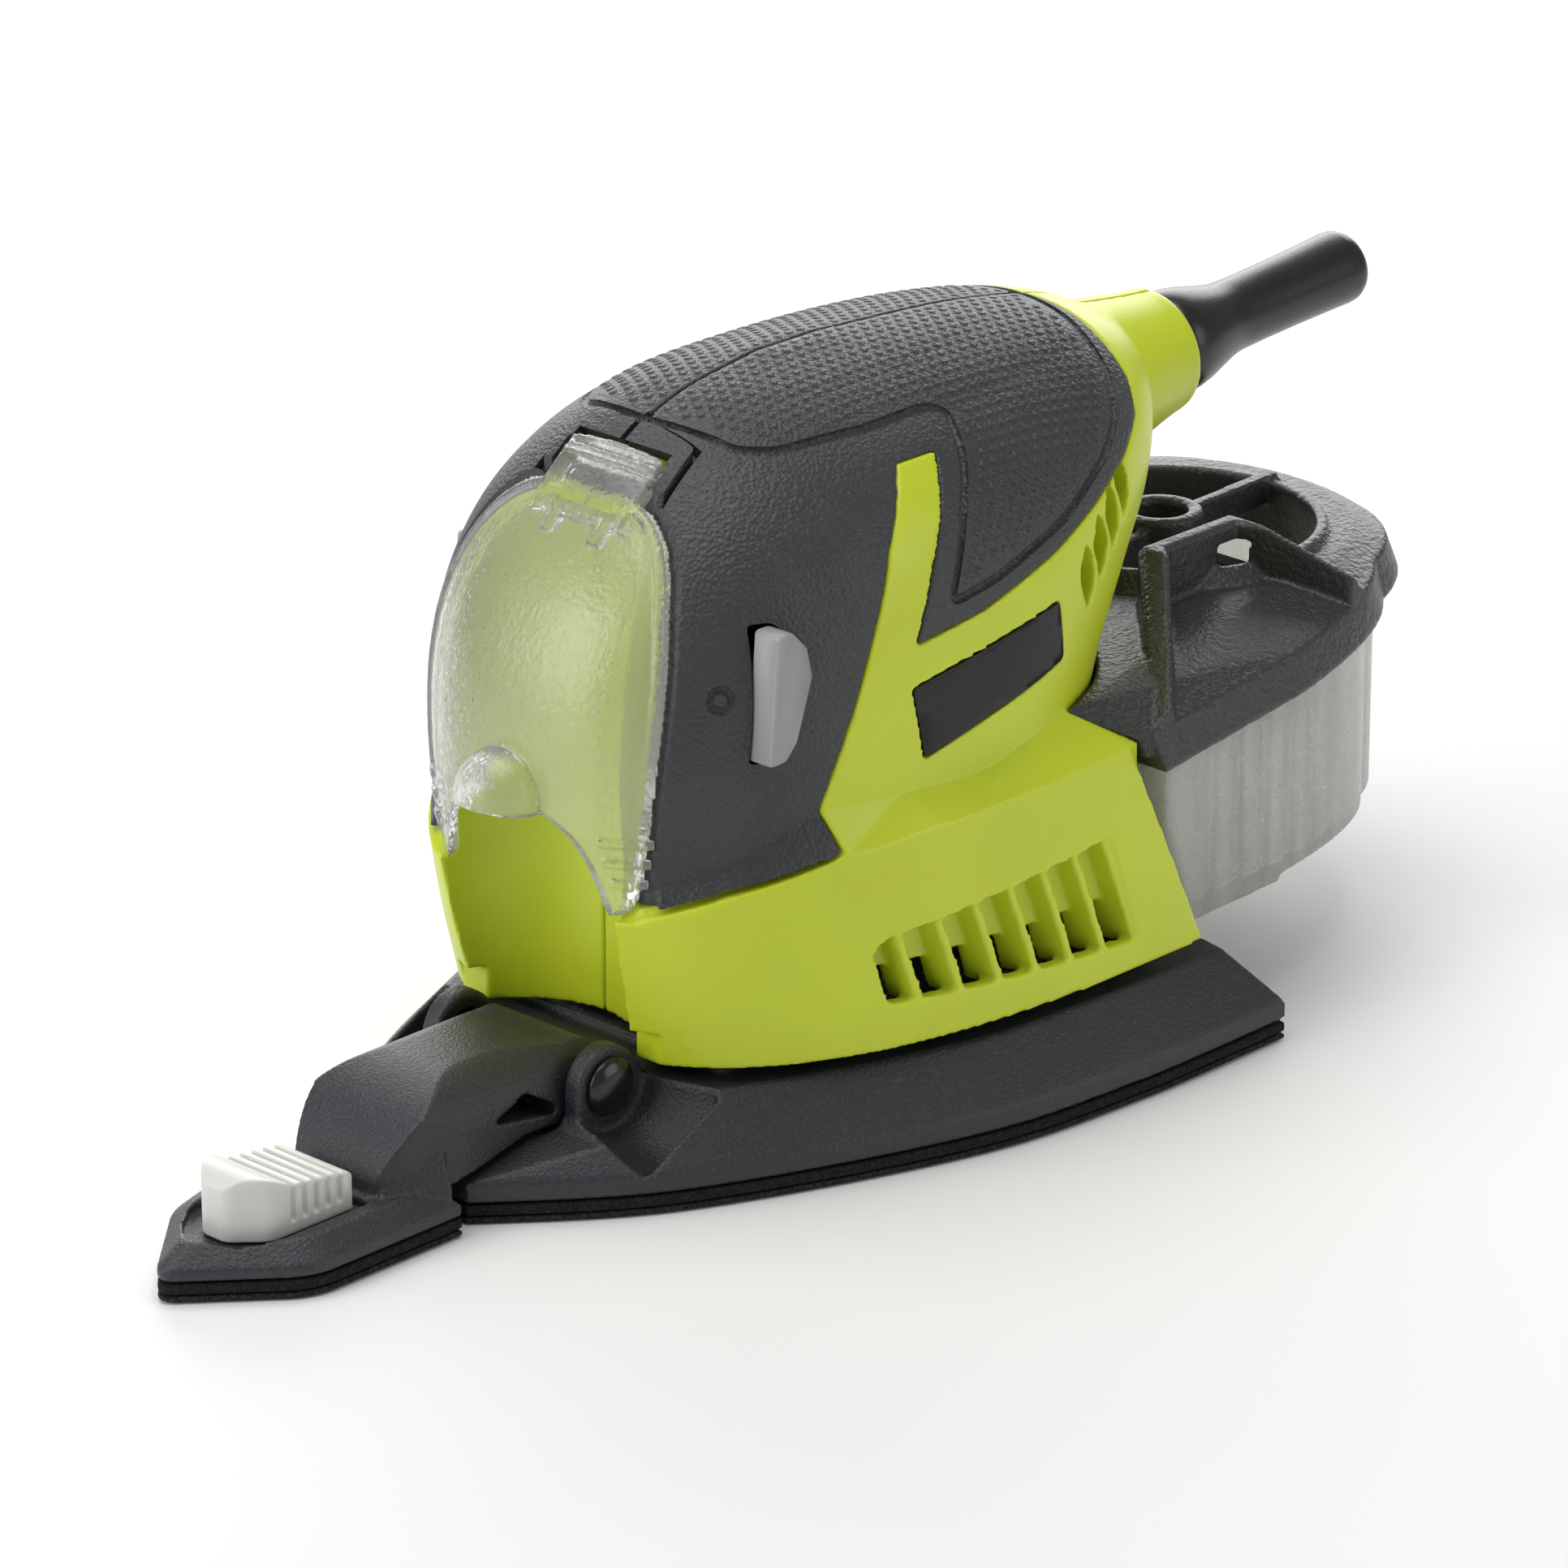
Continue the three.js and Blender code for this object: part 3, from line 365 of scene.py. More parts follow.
def sections(rows, inset, levels):
    """[height, front, rear, half, middle] at each level of a hull."""
    rows = [(z - inset * min(max((z - 84) / 20, 0), 1), *rest) for z, *rest in rows]
    ends = smooth_curve([(front + inset, rear - inset, z) for z, front, rear, _, _ in rows])
    widths = smooth_curve([(max(half - inset, 0.5), mid, z) for z, _, _, half, mid in rows])
    out = []
    for k in range(levels + 1):
        front, rear, z = ends(k / levels)
        half, mid, _ = widths(k / levels)
        out.append((z, front, rear, half, mid))
    return out


def hull(rows, inset=0.0, segments=144, levels=72):
    rings = []
    for z, front, rear, half, mid in sections(rows, inset, levels):
        ring = []
        for k in range(segments):
            angle = 2 * math.pi * k / segments
            c, s = math.cos(angle), math.sin(angle)
            power = 2 / (FRONT_ROUND if c < 0 else REAR_ROUND)
            length = mid - front if c < 0 else max(rear - mid, 0.5)
            ring.append((mid + length * math.copysign(abs(c) ** power, c),
                         half * math.copysign(abs(s) ** power, s), z))
        rings.append(ring)
    return loft("hull", rings)


class Skin:
    """The upper hull's surface seen as a sheet: x along the tool, s down from the top line."""

    def __init__(self, rows, inset=0.0):
        self.rows = sections(rows, inset, 400)

    def column(self, x):
        points = []
        for z, front, rear, half, mid in self.rows:
            length, power = (mid - front, FRONT_ROUND) if x < mid else (rear - mid, REAR_ROUND)
            reach = abs(x - mid) / max(length, 0.5)
            if reach < 1:
                points.append((half * (1 - reach ** power) ** (1 / power), z))
        top = points[-1]
        points.append((0.0, top[1] + 0.02))
        points.reverse()
        table = [0.0]
        for a, b in zip(points, points[1:]):
            table.append(table[-1] + math.hypot(b[0] - a[0], b[1] - a[1]))
        return points, table

    def point(self, x, s, sign=1):
        points, table = self.column(x)
        y = np.interp(s, table, [p[0] for p in points])
        z = np.interp(s, table, [p[1] for p in points])
        return Vector((x, sign * float(y), float(z)))

    def normal(self, x, s, sign=1):
        dx = self.point(x + 0.4, s, sign) - self.point(x - 0.4, s, sign)
        ds = self.point(x, s + 0.4, sign) - self.point(x, max(s - 0.4, 0), sign)
        out = dx.cross(ds).normalized()
        centre = Vector((-10, 0, 60))
        return out if out.dot(self.point(x, s, sign) - centre) > 0 else -out


SKIN = Skin(UPPER_ROWS)


def tilted(obj):
    turn = Matrix.Rotation(-BOSS["tilt"], 4, "Y")
    obj.data.transform(Matrix.Translation(Vector((BOSS["x"], 0, BOSS["z"])) * MM) @ turn)
    return obj


# ------------------------------------------------------------------ camera
def aim_camera():
    azimuth, elevation = math.radians(-46.38), math.radians(21.54)
    back = Vector((math.sin(azimuth) * math.cos(elevation), -math.cos(azimuth) * math.cos(elevation),
                   math.sin(elevation)))
    right = Vector((0, 0, 1)).cross(back).normalized()
    up = back.cross(right)
    look_at = (Vector((0, 0, 50)) - right * 8.42 - up * 12.28) * MM
    camera = bpy.data.objects.new("camera", bpy.data.cameras.new("camera"))
    bpy.context.scene.collection.objects.link(camera)
    camera.data.lens = 186.3
    camera.data.sensor_width = 36
    camera.data.clip_start = 0.05
    camera.location = look_at + back * 1.1666
    camera.rotation_euler = Matrix((right, up, back)).transposed().to_euler()
    bpy.context.scene.camera = camera


aim_camera()


# ------------------------------------------------------------------ materials
def new_material(name):
    mat = bpy.data.materials.new(name)
    mat.use_nodes = True
    tree = mat.node_tree
    return mat, tree.nodes, tree.links, tree.nodes["Principled BSDF"]


def noise_of(nodes, links, size_mm, detail=2.0, roughness=0.5, stretch=(1, 1, 1)):
    """Noise with features of about size_mm, fixed to the object."""
    place = nodes.new("ShaderNodeTexCoord")
    mapping = nodes.new("ShaderNodeMapping")
    mapping.inputs["Scale"].default_value = stretch
    texture = nodes.new("ShaderNodeTexNoise")
    texture.inputs["Scale"].default_value = 1 / (size_mm * MM)
    texture.inputs["Detail"].default_value = detail
    texture.inputs["Roughness"].default_value = roughness
    links.new(place.outputs["Object"], mapping.inputs["Vector"])
    links.new(mapping.outputs["Vector"], texture.inputs["Vector"])
    return texture.outputs["Fac"]


def ramp(nodes, links, socket, stops):
    node = nodes.new("ShaderNodeValToRGB")
    ends = node.color_ramp.elements
    while len(ends) < len(stops):
        ends.new(0.5)
    for element, (position, colour) in zip(ends, stops):
        element.position = position
        element.color = (*colour, 1) if len(colour) == 3 else colour
    links.new(socket, node.inputs["Fac"])
    return node.outputs["Color"]


def grey(value):
    return (value, value, value)


def bumps(nodes, links, shader, heights):
    """Chains bump maps of (height socket, depth in mm, strength) into the shader's normal."""
    normal = None
    for socket, depth, strength in heights:
        node = nodes.new("ShaderNodeBump")
        node.inputs["Distance"].default_value = depth * MM
        node.inputs["Strength"].default_value = strength
        links.new(socket, node.inputs["Height"])
        if normal:
            links.new(normal, node.inputs["Normal"])
        normal = node.outputs["Normal"]
    links.new(normal, shader.inputs["Normal"])


def plastic(name, colour, roughness=0.4, grain=0.5, depth=0.06, vary=0.08, wear=0.25, painted_glint=0.0,
            specular=0.5):
    """Moulded plastic or rubber: fine grain, slight colour drift, and edges rubbed a little lighter."""
    mat, nodes, links, shader = new_material(name)
    drift = noise_of(nodes, links, 18, 3)
    fine = noise_of(nodes, links, grain, 2.5, 0.6)
    dark = tuple(c * (1 - vary) for c in colour)
    light = tuple(min(1, c * (1 + vary)) for c in colour)
    base = ramp(nodes, links, drift, [(0.3, dark), (0.7, light)])
    edge = nodes.new("ShaderNodeNewGeometry")
    rubbed = ramp(nodes, links, edge.outputs["Pointiness"], [(0.5, grey(0)), (0.62, grey(wear))])
    mix = nodes.new("ShaderNodeMix")
    mix.data_type = "RGBA"
    links.new(rubbed, mix.inputs["Factor"])
    links.new(base, mix.inputs["A"])
    mix.inputs["B"].default_value = (*(min(1, c * 1.5 + 0.02) for c in colour), 1)
    out = mix.outputs["Result"]
    # Painted glints: the brightest grain spots are lightened in the base colour to stand in for light
    # sparkling off the grain.
    if painted_glint:
        glint_mask = ramp(nodes, links, fine, [(0.55, grey(0)), (0.75, grey(painted_glint))])
        glint = nodes.new("ShaderNodeMix")
        glint.data_type = "RGBA"
        links.new(glint_mask, glint.inputs["Factor"])
        links.new(out, glint.inputs["A"])
        glint.inputs["B"].default_value = (*(min(1, c * 3 + 0.03) for c in colour), 1)
        out = glint.outputs["Result"]
    links.new(out, shader.inputs["Base Color"])
    shine = ramp(nodes, links, fine, [(0.25, grey(roughness * 0.82)), (0.75, grey(min(1, roughness * 1.18)))])
    links.new(shine, shader.inputs["Roughness"])
    shader.inputs["Specular IOR Level"].default_value = specular
    bumps(nodes, links, shader, [(fine, depth, 1.0)])
    return mat


def leather(name, colour):
    """Soft overmould with a leather grain."""
    mat, nodes, links, shader = new_material(name)
    place = nodes.new("ShaderNodeTexCoord")
    cells = nodes.new("ShaderNodeTexVoronoi")
    cells.feature = "SMOOTH_F1"
    cells.inputs["Scale"].default_value = 1 / (0.56 * MM)
    links.new(place.outputs["Object"], cells.inputs["Vector"])
    fine = noise_of(nodes, links, 0.5, 3, 0.6)
    drift = noise_of(nodes, links, 14, 3)
    dark = tuple(c * 0.9 for c in colour)
    light = tuple(c * 1.12 for c in colour)
    base = ramp(nodes, links, drift, [(0.3, dark), (0.7, light)])
    links.new(base, shader.inputs["Base Color"])
    shine = ramp(nodes, links, fine, [(0.3, grey(0.38)), (0.7, grey(0.55))])
    links.new(shine, shader.inputs["Roughness"])
    shader.inputs["Specular IOR Level"].default_value = 0.5
    bumps(nodes, links, shader, [(cells.outputs["Distance"], 0.22, 1.0), (fine, 0.10, 0.8)])
    return mat


def clear_plastic():
    mat, nodes, links, shader = new_material("clear_visor")
    fine = noise_of(nodes, links, 0.45, 2)
    pebble = noise_of(nodes, links, 0.9, 1)
    shader.inputs["Base Color"].default_value = (0.97, 0.98, 0.97, 1)
    shader.inputs["Transmission Weight"].default_value = 0.9
    shader.inputs["IOR"].default_value = 1.45
    shine = ramp(nodes, links, fine, [(0.3, grey(0.09)), (0.7, grey(0.19))])
    links.new(shine, shader.inputs["Roughness"])
    bumps(nodes, links, shader, [(pebble, 0.13, 1.0), (fine, 0.03, 0.8)])
    return mat


def cloudy_plastic():
    mat, nodes, links, shader = new_material("cloudy_bin")
    cloud = noise_of(nodes, links, 4.0, 3, 0.55, (1, 1, 0.18))
    fine = noise_of(nodes, links, 0.4, 2)
    base = ramp(nodes, links, cloud, [(0.3, (0.66, 0.67, 0.61)), (0.7, (0.82, 0.83, 0.78))])
    links.new(base, shader.inputs["Base Color"])
    shader.inputs["Transmission Weight"].default_value = 0.72
    shader.inputs["IOR"].default_value = 1.46
    shine = ramp(nodes, links, fine, [(0.3, grey(0.26)), (0.7, grey(0.38))])
    links.new(shine, shader.inputs["Roughness"])
    bumps(nodes, links, shader, [(fine, 0.015, 0.5), (cloud, 0.15, 0.25)])
    return mat


def foam_material(name, colour, fleck):
    mat, nodes, links, shader = new_material(name)
    cells = noise_of(nodes, links, 0.55, 4, 0.7)
    base = ramp(nodes, links, cells, [(0.45, colour), (0.72, fleck)])
    links.new(base, shader.inputs["Base Color"])
    shader.inputs["Roughness"].default_value = 0.95
    shader.inputs["Specular IOR Level"].default_value = 0.2
    bumps(nodes, links, shader, [(cells, 0.3, 1.0)])
    return mat


def metal(name, colour, roughness=0.3, stretch=(1, 1, 12)):
    mat, nodes, links, shader = new_material(name)
    lines = noise_of(nodes, links, 1.2, 3, 0.6, stretch)
    tone = ramp(nodes, links, lines, [(0.3, tuple(c * 0.85 for c in colour)), (0.7, colour)])
    links.new(tone, shader.inputs["Base Color"])
    shine = ramp(nodes, links, lines, [(0.3, grey(roughness * 0.8)), (0.7, grey(roughness * 1.3))])
    links.new(shine, shader.inputs["Roughness"])
    shader.inputs["Metallic"].default_value = 1.0
    bumps(nodes, links, shader, [(lines, 0.01, 0.5)])
    return mat


LIME = plastic("lime_shell", (0.565, 0.665, 0.022), 0.36, grain=0.42, depth=0.028, vary=0.03, wear=0.12)
SOFT_GRIP = leather("soft_grip", (0.036, 0.038, 0.041))
BADGE_BLACK = plastic("badge_face", (0.006, 0.006, 0.0065), 0.34, grain=0.9, depth=0.006, vary=0.1, wear=0.1,
                      specular=0.3)
CLEAR = clear_plastic()
SWITCH_GREY = plastic("switch_grey", (0.30, 0.30, 0.305), 0.38, grain=0.4, depth=0.02, vary=0.04)
BLACK_RUBBER = plastic("black_rubber", (0.012, 0.0125, 0.0135), 0.30, grain=0.4, depth=0.025, wear=0.1)
BLACK_PLASTIC = plastic("black_plastic", (0.020, 0.020, 0.021), 0.5, grain=0.5, depth=0.05)
PIN_BLACK = plastic("pin_black", (0.010, 0.010, 0.011), 0.22, grain=0.6, depth=0.01, wear=0.1)
SOLE_GREY = plastic("sole_plastic", (0.022, 0.0245, 0.029), 0.42, grain=0.5, depth=0.2, vary=0.12, wear=0.3,
                    painted_glint=0.3)
LID_GREY = plastic("lid_plastic", (0.034, 0.035, 0.034), 0.36, grain=0.95, depth=0.34, vary=0.06, wear=0.3)
LATCH_WHITE = plastic("latch_white", (0.64, 0.66, 0.61), 0.40, grain=0.5, depth=0.02, vary=0.03, wear=0.3)
CLOUDY = cloudy_plastic()
FOAM = foam_material("pad_foam", (0.010, 0.010, 0.011), (0.032, 0.032, 0.034))
FACING = foam_material("hook_facing", (0.014, 0.014, 0.015), (0.06, 0.06, 0.06))
PAPER = plastic("filter_paper", (0.66, 0.62, 0.52), 0.9, grain=0.8, depth=0.12, vary=0.06, wear=0.0)
STEEL = metal("steel", (0.56, 0.56, 0.57))
COPPER = metal("copper", (0.62, 0.27, 0.11), 0.35, (1, 1, 6))
CARBON = plastic("carbon", (0.02, 0.02, 0.02), 0.6, grain=0.3, depth=0.03)


# ------------------------------------------------------------------ placing the pieces
def place(obj, name, mat, body, replaced=(), slot=None):
    """Names a finished piece, gives it its material and puts it on its body."""
    obj.name = name
    obj.data.name = name
    obj.data.materials.clear()
    obj.data.materials.append(mat)
    obj.data.polygons.foreach_set("material_index", [0] * len(obj.data.polygons))
    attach(obj, body)
    if replaced:
        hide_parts(*replaced)
    return obj


def dress(mat, *names):
    """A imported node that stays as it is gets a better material."""
    for name in names:
        for entry in NODES[name].material_slots:
            entry.material = mat


# ------------------------------------------------------------------ housing
def visor_edge(shift=0.0, low=0.0, high=FAR, steps=48):
    """The visor's rear edge as one smooth line of (x, z)."""
    line = smooth_curve(VISOR_EDGE)
    points = [line(k / steps) for k in range(steps + 1)]
    return [(float(x) + shift, float(z)) for x, z in points if low <= z <= high]


def soft_side():
    """The overmould's outline, seen from the side."""
    return SOFT_LOWER + SLASH + SOFT_TAIL + SOFT_FRONT + visor_edge(0.7, 44)[::-1]


def visor_side():
    """The visor's outline, seen from the side."""
    return [(-90, 39.6)] + visor_edge() + [(-49.9, 110), (-90, 110)]


def recess_plan(extra):
    """The front channel seen from above, for the folded finger's arm."""
    half, back = 16 + extra, -49 + extra
    curve = []
    steps = 14
    for k in range(steps + 1):
        t = k / steps
        x = (1 - t) ** 3 * -64 + 3 * (1 - t) ** 2 * t * -56 + 3 * (1 - t) * t * t * back + t ** 3 * back
        y = (1 - t) ** 3 * (half + 1) + 3 * (1 - t) ** 2 * t * half + 3 * (1 - t) * t * t * 9
        curve.append((x, y))
    return [(-90, half + 1)] + curve + [(x, -y) for x, y in curve[-2::-1]] + [(-90, -half - 1)]


def upper_shell():
    """The outer form of the upper body as one solid."""
    return cut(hull(UPPER_ROWS), block(-FAR, FAR, -FAR, FAR, -50, SHELL_TRIM_Z))


UPPER_TABLE = np.array(sections(UPPER_ROWS, 0, 300))
SKIRT_TABLE = np.array(sections(SKIRT_ROWS, 0, 300))


def surface_y(table, x, z):
    """Half width of a hull at x and z."""
    front, rear, half, mid = (float(np.interp(z, table[:, 0], table[:, k])) for k in (1, 2, 3, 4))
    length, power = (mid - front, FRONT_ROUND) if x < mid else (rear - mid, REAR_ROUND)
    reach = min(abs(x - mid) / length, 1)
    return half * (1 - reach ** power) ** (1 / power)


def convex(points):
    """The convex hull of the points."""
    bm = bmesh.new()
    for p in points:
        bm.verts.new([c * MM for c in p])
    bmesh.ops.convex_hull(bm, input=bm.verts)
    loose = [v for v in bm.verts if not v.link_faces]
    bmesh.ops.delete(bm, geom=loose, context="VERTS")
    bmesh.ops.recalc_face_normals(bm, faces=bm.faces)
    mesh = bpy.data.meshes.new("convex")
    bm.to_mesh(mesh)
    bm.free()
    obj = bpy.data.objects.new("convex", mesh)
    bpy.context.scene.collection.objects.link(obj)
    return obj


SHELF = [  # stations of the shoulder: (x, z) on the upper body, (x, z) on the skirt's rim
    ((-40.5, 53.9), (-38.6, 46.8)), ((-25, 52.9), (-27, 47.6)), ((-8, 51.8), (-22, 47.9)),
    ((2.9, 54.4), (4, 48.7)), ((8.4, 55.2), (17.8, 49.3)),
]


def shelf():
    """The shoulder between the skirt's upper edge and the narrower body: two sloping facets a side."""
    sides = []
    for sign in (-1, 1):
        rings = []
        for (cx, cz), (rx, rz) in SHELF:
            crease = surface_y(UPPER_TABLE, cx, cz) - 0.3
            rim = surface_y(SKIRT_TABLE, rx, rz) - 0.15
            rings.append([(rx, sign * rim, rz), (rx, sign * rim, rz - 4), (cx, sign * (crease - 6), rz - 4),
                          (cx, sign * (crease - 6), cz), (cx, sign * crease, cz)])
        sides.append(loft("shelf", rings))
    return join(*sides)


SOFT_SHELF = [((-59.8, 45.2), (-60.8, 41.5)), ((-56, 46.6), (-56, 43.3)), ((-50, 48.8), (-49, 44.9)),
              ((-44, 51.6), (-42.6, 46.3)), ((-39.2, 53.6), (-38.4, 47.0))]
SOFT_SHELF_DEPTH = 1.2


def soft_shelf():
    """The overmould's own flare down to the skirt's rim."""
    sides = []
    for sign in (-1, 1):
        rings = []
        for (cx, cz), (rx, rz) in SOFT_SHELF:
            crease = surface_y(UPPER_TABLE, cx, cz) - 0.25
            rim = min(surface_y(SKIRT_TABLE, rx, rz) - 0.3, crease + 4.4)
            inner = sign * (crease - SOFT_SHELF_DEPTH)
            rings.append([(rx, sign * rim, rz), (cx, inner, rz), (cx, inner, cz), (cx, sign * crease, cz)])
        sides.append(loft("soft_shelf", rings))
    return join(*sides)


WINDOW = [(-34, 31.6), (-31.6, 33.2), (10.8, 37.3), (15.3, 20.6), (-31.5, 23.2)]
FINS = 7
VENT_FLOOR = 3.6
VENT_BACK = 5.4


def louvre(k):
    """One slanted fin of the vent: its outer edge stands behind its inner one."""
    x = -26.9 + 6.55 * k
    rings = []
    for z, lean in ((39.5, -3.2), (18.5, 3.2)):
        plan = [(x + 0.55, 60), (x - 0.55, 60), (x - 0.7, 43.0), (x - 2.4, 37.6), (x - 2.4, 30),
                (x - 1.2, 30), (x - 1.2, 37.6), (x + 0.6, 43.0)]
        rings.append([(px + lean, py, z) for px, py in plan])
    return loft("louvre", rings)


def mirrored(obj):
    """A copy on the other side of the centre plane."""
    twin = copy(obj)
    twin.data.transform(Matrix.Scale(-1, 4, (0, 1, 0)))
    twin.data.flip_normals()
    return twin


def skirt_vents(body):
    """A sunk window on each side with upright slanted fins; its lower part is open between them."""
    cut(body, side(rounded(WINDOW, 1.3)))
    window_wall = side(grow(WINDOW, 0.7))
    floor = common(side([(-37, 27.8), (20, 26.6), (20, 40), (-37, 40)]), copy(window_wall),
                   hull(SKIRT_ROWS, VENT_FLOOR, 96, 12))
    backing = cut(floor, hull(SKIRT_ROWS, VENT_BACK, 96, 12))
    fins = louvre(0)
    for k in range(1, FINS):
        fins = join(fins, louvre(k))
    fins = join(fins, mirrored(fins))
    fins = common(fins, hull(SKIRT_ROWS, 0.35, 144, 12), window_wall)
    fins = cut(fins, hull(SKIRT_ROWS, VENT_BACK, 96, 12))
    return join(body, backing, fins)


NECK_SLOT = [(-2.0, 4.3), (0.2, -1.6), (2.0, 1.2), (2.2, 3.8), (1.2, 7.0), (-0.3, 8.6)]


def neck_vents(body):
    """Slanted openings behind the grip with curved fins between them."""
    for k in range(4):
        x, z = 14.8 + 3.8 * k, 69.6 + 3.3 * k
        slot = [(x + along, z + up) for along, up in NECK_SLOT]
        groove = cut(side(rounded(slot, 0.7, 3)), hull(UPPER_ROWS, 3.6, 96, 36))
        cut(body, groove)
    return body


SCREWS = ((-38, 90), (33, 62), (-36, 40), (25, 40))
SCREW_WELL = 2.9
SCREW_BORE = 1.8


def screw_wells(obj):
    """A well for the head and a bore for the shank of each housing screw."""
    for x, z in SCREWS:
        well = rod("y", SCREW_WELL, 18, FAR, (x, 0, z), 32)
        bore = rod("y", SCREW_BORE, -15, FAR, (x, 0, z), 24)
        cut(obj, well, bore)
    return obj


def inner_space():
    """The hollow inside both shells, clear of the front channel."""
    lower = hull([(z - 6 if i == 0 else z, *rest) for i, (z, *rest) in enumerate(SKIRT_ROWS)], WALL, 96, 12)
    floor = SKIRT_Z - 4
    inside = side([(-80, 34), (-54, 38), (-38, 42), (14.2, 44.5), (27.5, floor), (-80, floor)])
    space = join(common(lower, inside), hull(UPPER_ROWS, WALL + SOFT, 96, 36))
    return cut(space, slab(recess_plan(WALL), 0, 92 + WALL))


def make_housing():
    """Both shells in one piece: skirt, body and cord boss, with every seat and opening."""
    skirt = common(hull(SKIRT_ROWS, 0, 144, 24), side(BAND_TOP + [(29.5, SKIRT_Z), (-80, SKIRT_Z)]))
    boss_profile = [(0, -34), (17, -34), (14.6, -24), (12.0, -14), (10.6, -7), (9.9, -3), (9.7, -1),
                    (9.5, -0.4), (9.0, 0), (0, 0)]
    boss = tilted(lathe(boss_profile, "x", (0, 0, 0), 72))
    boss = common(boss, block(36, FAR, -FAR, FAR, 70, FAR))
    body = join(skirt, upper_shell(), shelf(), boss)
    cut(body, inner_space())
    recess = join(slab(recess_plan(0), 0, 92), block(-75, -57.5, -20, 20, 0, 21.5))
    cut(body, recess)
    for sign in (-1, 1):
        seat = side(rounded(grow(BADGE, 0.12), 0.9, 4), *sorted((sign * (BADGE_SEAT - 0.2), sign * FAR)))
        cut(body, seat)
    soft_seat = cut(side(grow(soft_side(), 0.2)), hull(UPPER_ROWS, SOFT + GAP, 96, 48))
    visor_seat = cut(side(grow(visor_side(), 0.8)), hull(UPPER_ROWS, VISOR_WALL + GAP, 96, 48),
                     block(-FAR, FAR, -FAR, FAR, -50, 39.3))
    cut(body, soft_seat, visor_seat)
    for sign in (-1, 1):
        cut(body, side(grow(CAP, 1.1), *sorted((sign * 21, sign * FAR))))
    cut(body, block(-52, -43.4, -9.2, 9.2, 93.0, 110))
    skirt_vents(body)
    neck_vents(body)
    hinge_bore = rod("y", 3, -HINGE_HALF - 0.3, HINGE_HALF + 0.3, HINGE)
    guard_bore = tilted(rod("x", 6.2, -60, 5, (0, 0, 0)))
    cut(body, hinge_bore, guard_bore)
    cut(body, block(6, 40, -11, 11, 24, 36))
    screw_wells(body)
    return body


def split(obj, sign):
    """The part of a piece on one side of the parting plane."""
    wall = block(-FAR, FAR, *sorted((sign * 0.12, sign * FAR)), -50, FAR)
    return common(copy(obj), wall)


SIDES = (("left", 1), ("right", -1))


def build_housing():
    whole = make_housing()
    for name, sign in SIDES:
        part = soften(keep_largest(split(whole, sign)), 0.4, 1, 0.3)
        place(part, f"shell_{name}", LIME, "housing", (f"housing_{name}",), "lime_shell")
    remove(whole)


# ------------------------------------------------------------------ soft grip
GRIP_LINE = [(-40.4, 0, 102), (-37.7, -14, 100.6), (-32.4, -18.3, 100.1), (-18.6, -20.7, 100.4),
             (-5.2, -20.5, 100.6), (-2.5, -21.9, 99.6), (-5, -27.3, 95), (-10.4, -32.3, 88),
             (-15.8, -35.1, 77.6), (-5.7, -35, 79), (9.9, -33.1, 83), (23.1, -28.9, 88.2), (28.5, -26, 91.1),
             (33.2, -20.6, 96), (35.2, -11.8, 100.8), (36.9, 0, 102.4)]


def down_the_skin(x, z):
    """How far below the top line a point at x and height z lies, measured along the surface."""
    points, table = SKIN.column(x)
    return float(np.interp(-z, [-p[1] for p in points], table))


def grip_outline():
    """The grip's border in skin coordinates, with its corners rounded."""
    flat = []
    for x, y, z in GRIP_LINE:
        flat.append((x, down_the_skin(x, z) if y else -1.0))
    return rounded(flat, 2.6, 5)


def inside_outline(x, y, outline):
    """Whether a point lies inside a closed outline."""
    hit = False
    for (x0, y0), (x1, y1) in zip(outline, outline[1:] + outline[:1]):
        if (y0 > y) != (y1 > y) and x < (x1 - x0) * (y - y0) / (y1 - y0) + x0:
            hit = not hit
    return hit


def edge_distance(x, y, outline):
    """Distance from a point to the outline's nearest side."""
    best = 1e9
    for (x0, y0), (x1, y1) in zip(outline, outline[1:] + outline[:1]):
        dx, dy = x1 - x0, y1 - y0
        t = min(1, max(0, ((x - x0) * dx + (y - y0) * dy) / (dx * dx + dy * dy + 1e-9)))
        best = min(best, math.hypot(x - x0 - t * dx, y - y0 - t * dy))
    return best


def grip_studs(sign, outline):
    """Small raised plus-shaped studs in staggered rows inside the grip's border."""
    arm, width, height, sink = 0.66, 0.26, 0.14, 0.25
    plus = [(arm, width), (width, width), (width, arm), (-width, arm), (-width, width), (-arm, width),
            (-arm, -width), (-width, -width), (-width, -arm), (width, -arm), (width, -width), (arm, -width)]
    verts, faces = [], []
    pitch_x, pitch_s = 2.3, 1.75
    for row in range(40):
        s = 1.6 + pitch_s * row
        for column in range(40):
            x = -44 + pitch_x * (column + 0.5 * (row % 2))
            if not inside_outline(x, s, outline) or edge_distance(x, s, outline) < 2.0:
                continue
            centre, normal = SKIN.point(x, s, sign), SKIN.normal(x, s, sign)
            along = (SKIN.point(x + 0.5, s, sign) - centre).normalized()
            across = normal.cross(along)
            base = len(verts)
            for scale, rise in ((1.15, -sink), (1.05, 0.0), (0.62, height)):
                for a, b in plus:
                    verts.append(centre + along * a * scale + across * b * scale + normal * rise)
            count = len(plus)
            faces.append([base + k for k in range(count)][::-1])
            faces.append([base + 2 * count + k for k in range(count)])
            for level in (0, count):
                for k in range(count):
                    nxt = (k + 1) % count
                    faces.append([base + level + k, base + level + nxt, base + level + count + nxt,
                                  base + level + count + k])
    return new_object("studs", verts, faces)


def join_meshes(obj, *others):
    """Puts several meshes into one object, without a boolean."""
    for other in others:
        bm = bmesh.new()
        bm.from_mesh(obj.data)
        bm.from_mesh(other.data)
        bm.to_mesh(obj.data)
        bm.free()
        remove(other)
    return obj


